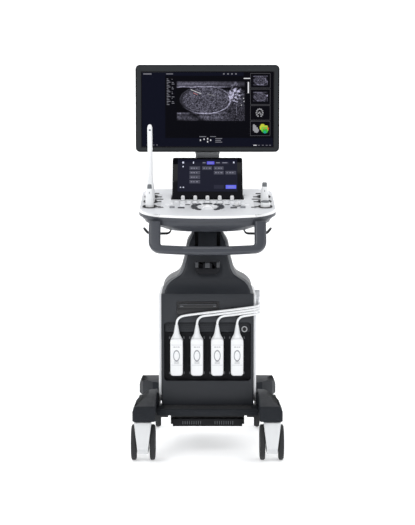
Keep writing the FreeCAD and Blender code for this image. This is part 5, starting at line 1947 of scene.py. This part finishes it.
    @staticmethod
    def dim_marks() -> Iterator[tuple[float, float, float, float]]:
        """Yield the small grey bars that stand where the screen's captions are."""
        yield (0.012, 0.014, 0.075, 0.030)
        yield (0.186, 0.016, 0.238, 0.028)
        for x in (0.618, 0.650, 0.680, 0.710):
            yield (x, 0.013, x + 0.012, 0.030)
        for row in range(17):
            y = 0.085 + row * 0.0215
            reach = 0.012 + 0.016 * ((row * 7) % 3) / 2
            yield (0.190, y, 0.190 + reach, y + 0.009)
            if row % 3 != 1:
                yield (0.228, y + 0.004, 0.228 + 0.020 * (((row * 5) % 4) + 1) / 4, y + 0.013)
        for row in range(3):
            y = 0.900 + row * 0.024
            yield (0.560, y - 0.012, 0.612 - 0.010 * (row % 2), y - 0.002)
        yield (0.438, 0.862, 0.490, 0.872)
        yield (0.520, 0.862, 0.565, 0.870)
        for x in (0.885, 0.915, 0.945, 0.970):
            yield (x, 0.979, x + 0.014, 0.987)
        yield (0.085, 0.974, 0.094, 0.986)
        yield (0.110, 0.974, 0.119, 0.986)


# ---- arm ---------------------------------------------------------------------------------------------------
@dataclass
class Arm:
    """Knuckle, link and head that carry the monitor."""

    def build(self) -> None:
        """Build the arm's castings and their caps."""
        for node, name, body, finish in (("arm_knuckle", "arm_base_casting", "arm_base", SILVER),
                                         ("arm_link", "arm_link_casting", "arm", SILVER),
                                         ("monitor_head", "head_casting", "head", SILVER_DARK)):
            dress(from_cad(node, name, 0.0018, 3), finish, body, [node])
        low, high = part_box("arm_knuckle")
        caps = [turned("pin_cap", (side * (high.x - 0.0004), 0.100, 1.076), Axis.X,
                       [(side * -0.0006, 0.0112), (side * 0.0012, 0.0112), (side * 0.0022, 0.0100),
                        (side * 0.0026, 0.0070)], 40)
                for side in (-1, 1)]
        dress(joined("knuckle_caps", caps), SILVER_DARK, "arm_base")
        apron = round_block("knuckle_apron", (-high.x, 0.0665, low.z + 0.006), (high.x, 0.0830, 1.0745),
                            0.004, Axis.X, 0.0008)
        with editing(apron) as mesh:
            for height in (1.052, 1.0532, 1.060, 1.0612, 1.068, 1.0692):
                bpy.ops.mesh.select_all(action="SELECT")
                bpy.ops.mesh.bisect(plane_co=(0, 0, height), plane_no=(0, 0, 1))
            choose(mesh, apron, faces=lambda f: f.normal.y < -0.9 and any(
                low_z < f.calc_center_median().z < low_z + 0.0012 for low_z in (1.052, 1.060, 1.068)))
            bpy.ops.mesh.extrude_region_move(TRANSFORM_OT_translate={"value": (0, 0.0012, 0)})
        dress(apron, SILVER, "arm_base")


# ---- probes ------------------------------------------------------------------------------------------------
@dataclass
class Probes:
    """The four probes that stand in the holders."""

    cup_x: float = 0.203

    def build(self) -> None:
        """Build each probe with its grip, lens and seams."""
        self.probe("probe_endocavity", (-self.cup_x, 0.234),
                   [(-0.0366, 0.0078), (-0.034, 0.0085), (-0.012, 0.0150), (0.006, 0.0156), (0.030, 0.0155),
                    (0.048, 0.0142), (0.062, 0.0125), (0.074, 0.0106), (0.086, 0.0092), (0.094, 0.0089),
                    (0.180, 0.0088), (0.262, 0.0087), (0.2655, 0.0085), (0.2700, 0.0078), (0.2742, 0.0066),
                    (0.2770, 0.0048), (0.2778, 0.0030)], None)
        self.probe("probe_linear", (-self.cup_x, 0.150),
                   [(-0.0366, 0.0085), (-0.034, 0.0092), (-0.014, 0.0138), (0.004, 0.0146), (0.020, 0.0145),
                    (0.036, 0.0141), (0.050, 0.0132), (0.058, 0.0112), (0.066, 0.0084), (0.0755, 0.0074),
                    (0.079, 0.0070), (0.0800, 0.0058)], 0.066)
        self.probe("probe_phased", (self.cup_x, 0.234),
                   [(-0.0366, 0.0085), (-0.034, 0.0092), (-0.014, 0.0138), (0.006, 0.0142), (0.022, 0.0140),
                    (0.036, 0.0134), (0.046, 0.0122), (0.053, 0.0104), (0.060, 0.0088), (0.0685, 0.0085),
                    (0.0700, 0.0072)], 0.0555)
        self.probe("probe_convex", (self.cup_x, 0.150),
                   [(-0.0366, 0.0085), (-0.034, 0.0094), (-0.016, 0.0156), (-0.004, 0.0169), (0.006, 0.0171),
                    (0.013, 0.0167), (0.0175, 0.0160), (0.0205, 0.0140), (0.0220, 0.0105)], 0.0165)
        self.tip_mark()

    def probe(self, node: str, at: tuple[float, float], rings: Sequence[tuple[float, float]],
              lens_from: Optional[float]) -> None:
        """Turn one probe and colour its lens.

        Args:
            node: CAD node that it stands for.
            at: Its place on the slope.
            rings: Height and radius of each ring.
            lens_from: Height where its grey lens begins, if it shows one.
        """
        dense = []
        for (z0, r0), (z1, r1) in zip(rings, rings[1:]):
            dense += [(z0, r0), ((z0 + z1) / 2, (r0 + r1) / 2 + 0.0001)]
        dense.append(rings[-1])
        thing = turned(node + "_shell", (0, 0, 0), Axis.Z, dense, 56)
        thing.data.materials.append(PROBE_WHITE.build())
        thing.data.materials.append(PROBE_GREY.build())
        for face in thing.data.polygons:
            face.material_index = 1 if lens_from is not None and face.center.z > lens_from else 0
        place = SLOPE @ Matrix.Translation((*at, 0.0))
        placed(thing, place)
        body = node + "_held"
        dress(thing, PROBE_WHITE, body, [node], 40.0)
        if lens_from is None:
            return
        seam_radius = min(radius for height, radius in rings if abs(height - lens_from) < 0.012) + 0.0028
        mark = round_block(node + "_mark", (-0.0010, -seam_radius - 0.0035, lens_from - 0.016),
                           (0.0010, -seam_radius + 0.004, lens_from - 0.010), 0.0009, Axis.Y)
        dress(placed(mark, place), PROBE_GREY, body)

    def tip_mark(self) -> None:
        """Set the small dark window near the long probe's tip."""
        window = round_block("probe_tip_window", (-0.0038, -0.0092, 0.2560), (0.0038, -0.0060, 0.2625),
                             0.0030, Axis.Y, 0.0004)
        place = SLOPE @ Matrix.Translation((-self.cup_x, 0.234, 0.0))
        dress(placed(window, place), PROBE_GREY, "probe_endocavity_held")


# ---- the whole machine -------------------------------------------------------------------------------------
def main() -> None:
    """Build the studio, the cables and every sub-assembly."""
    logging.basicConfig(level=logging.WARNING)
    Studio().build()
    ProbeCables().build()
    for corner in ("fl", "fr", "rl", "rr"):
        Caster(corner).build()
    for part in (Base(), Cabinet(), Neck(), Console(), TouchPanel(), Arm(), Monitor(), Probes()):
        part.build()


if __name__ == "__main__":
    main()
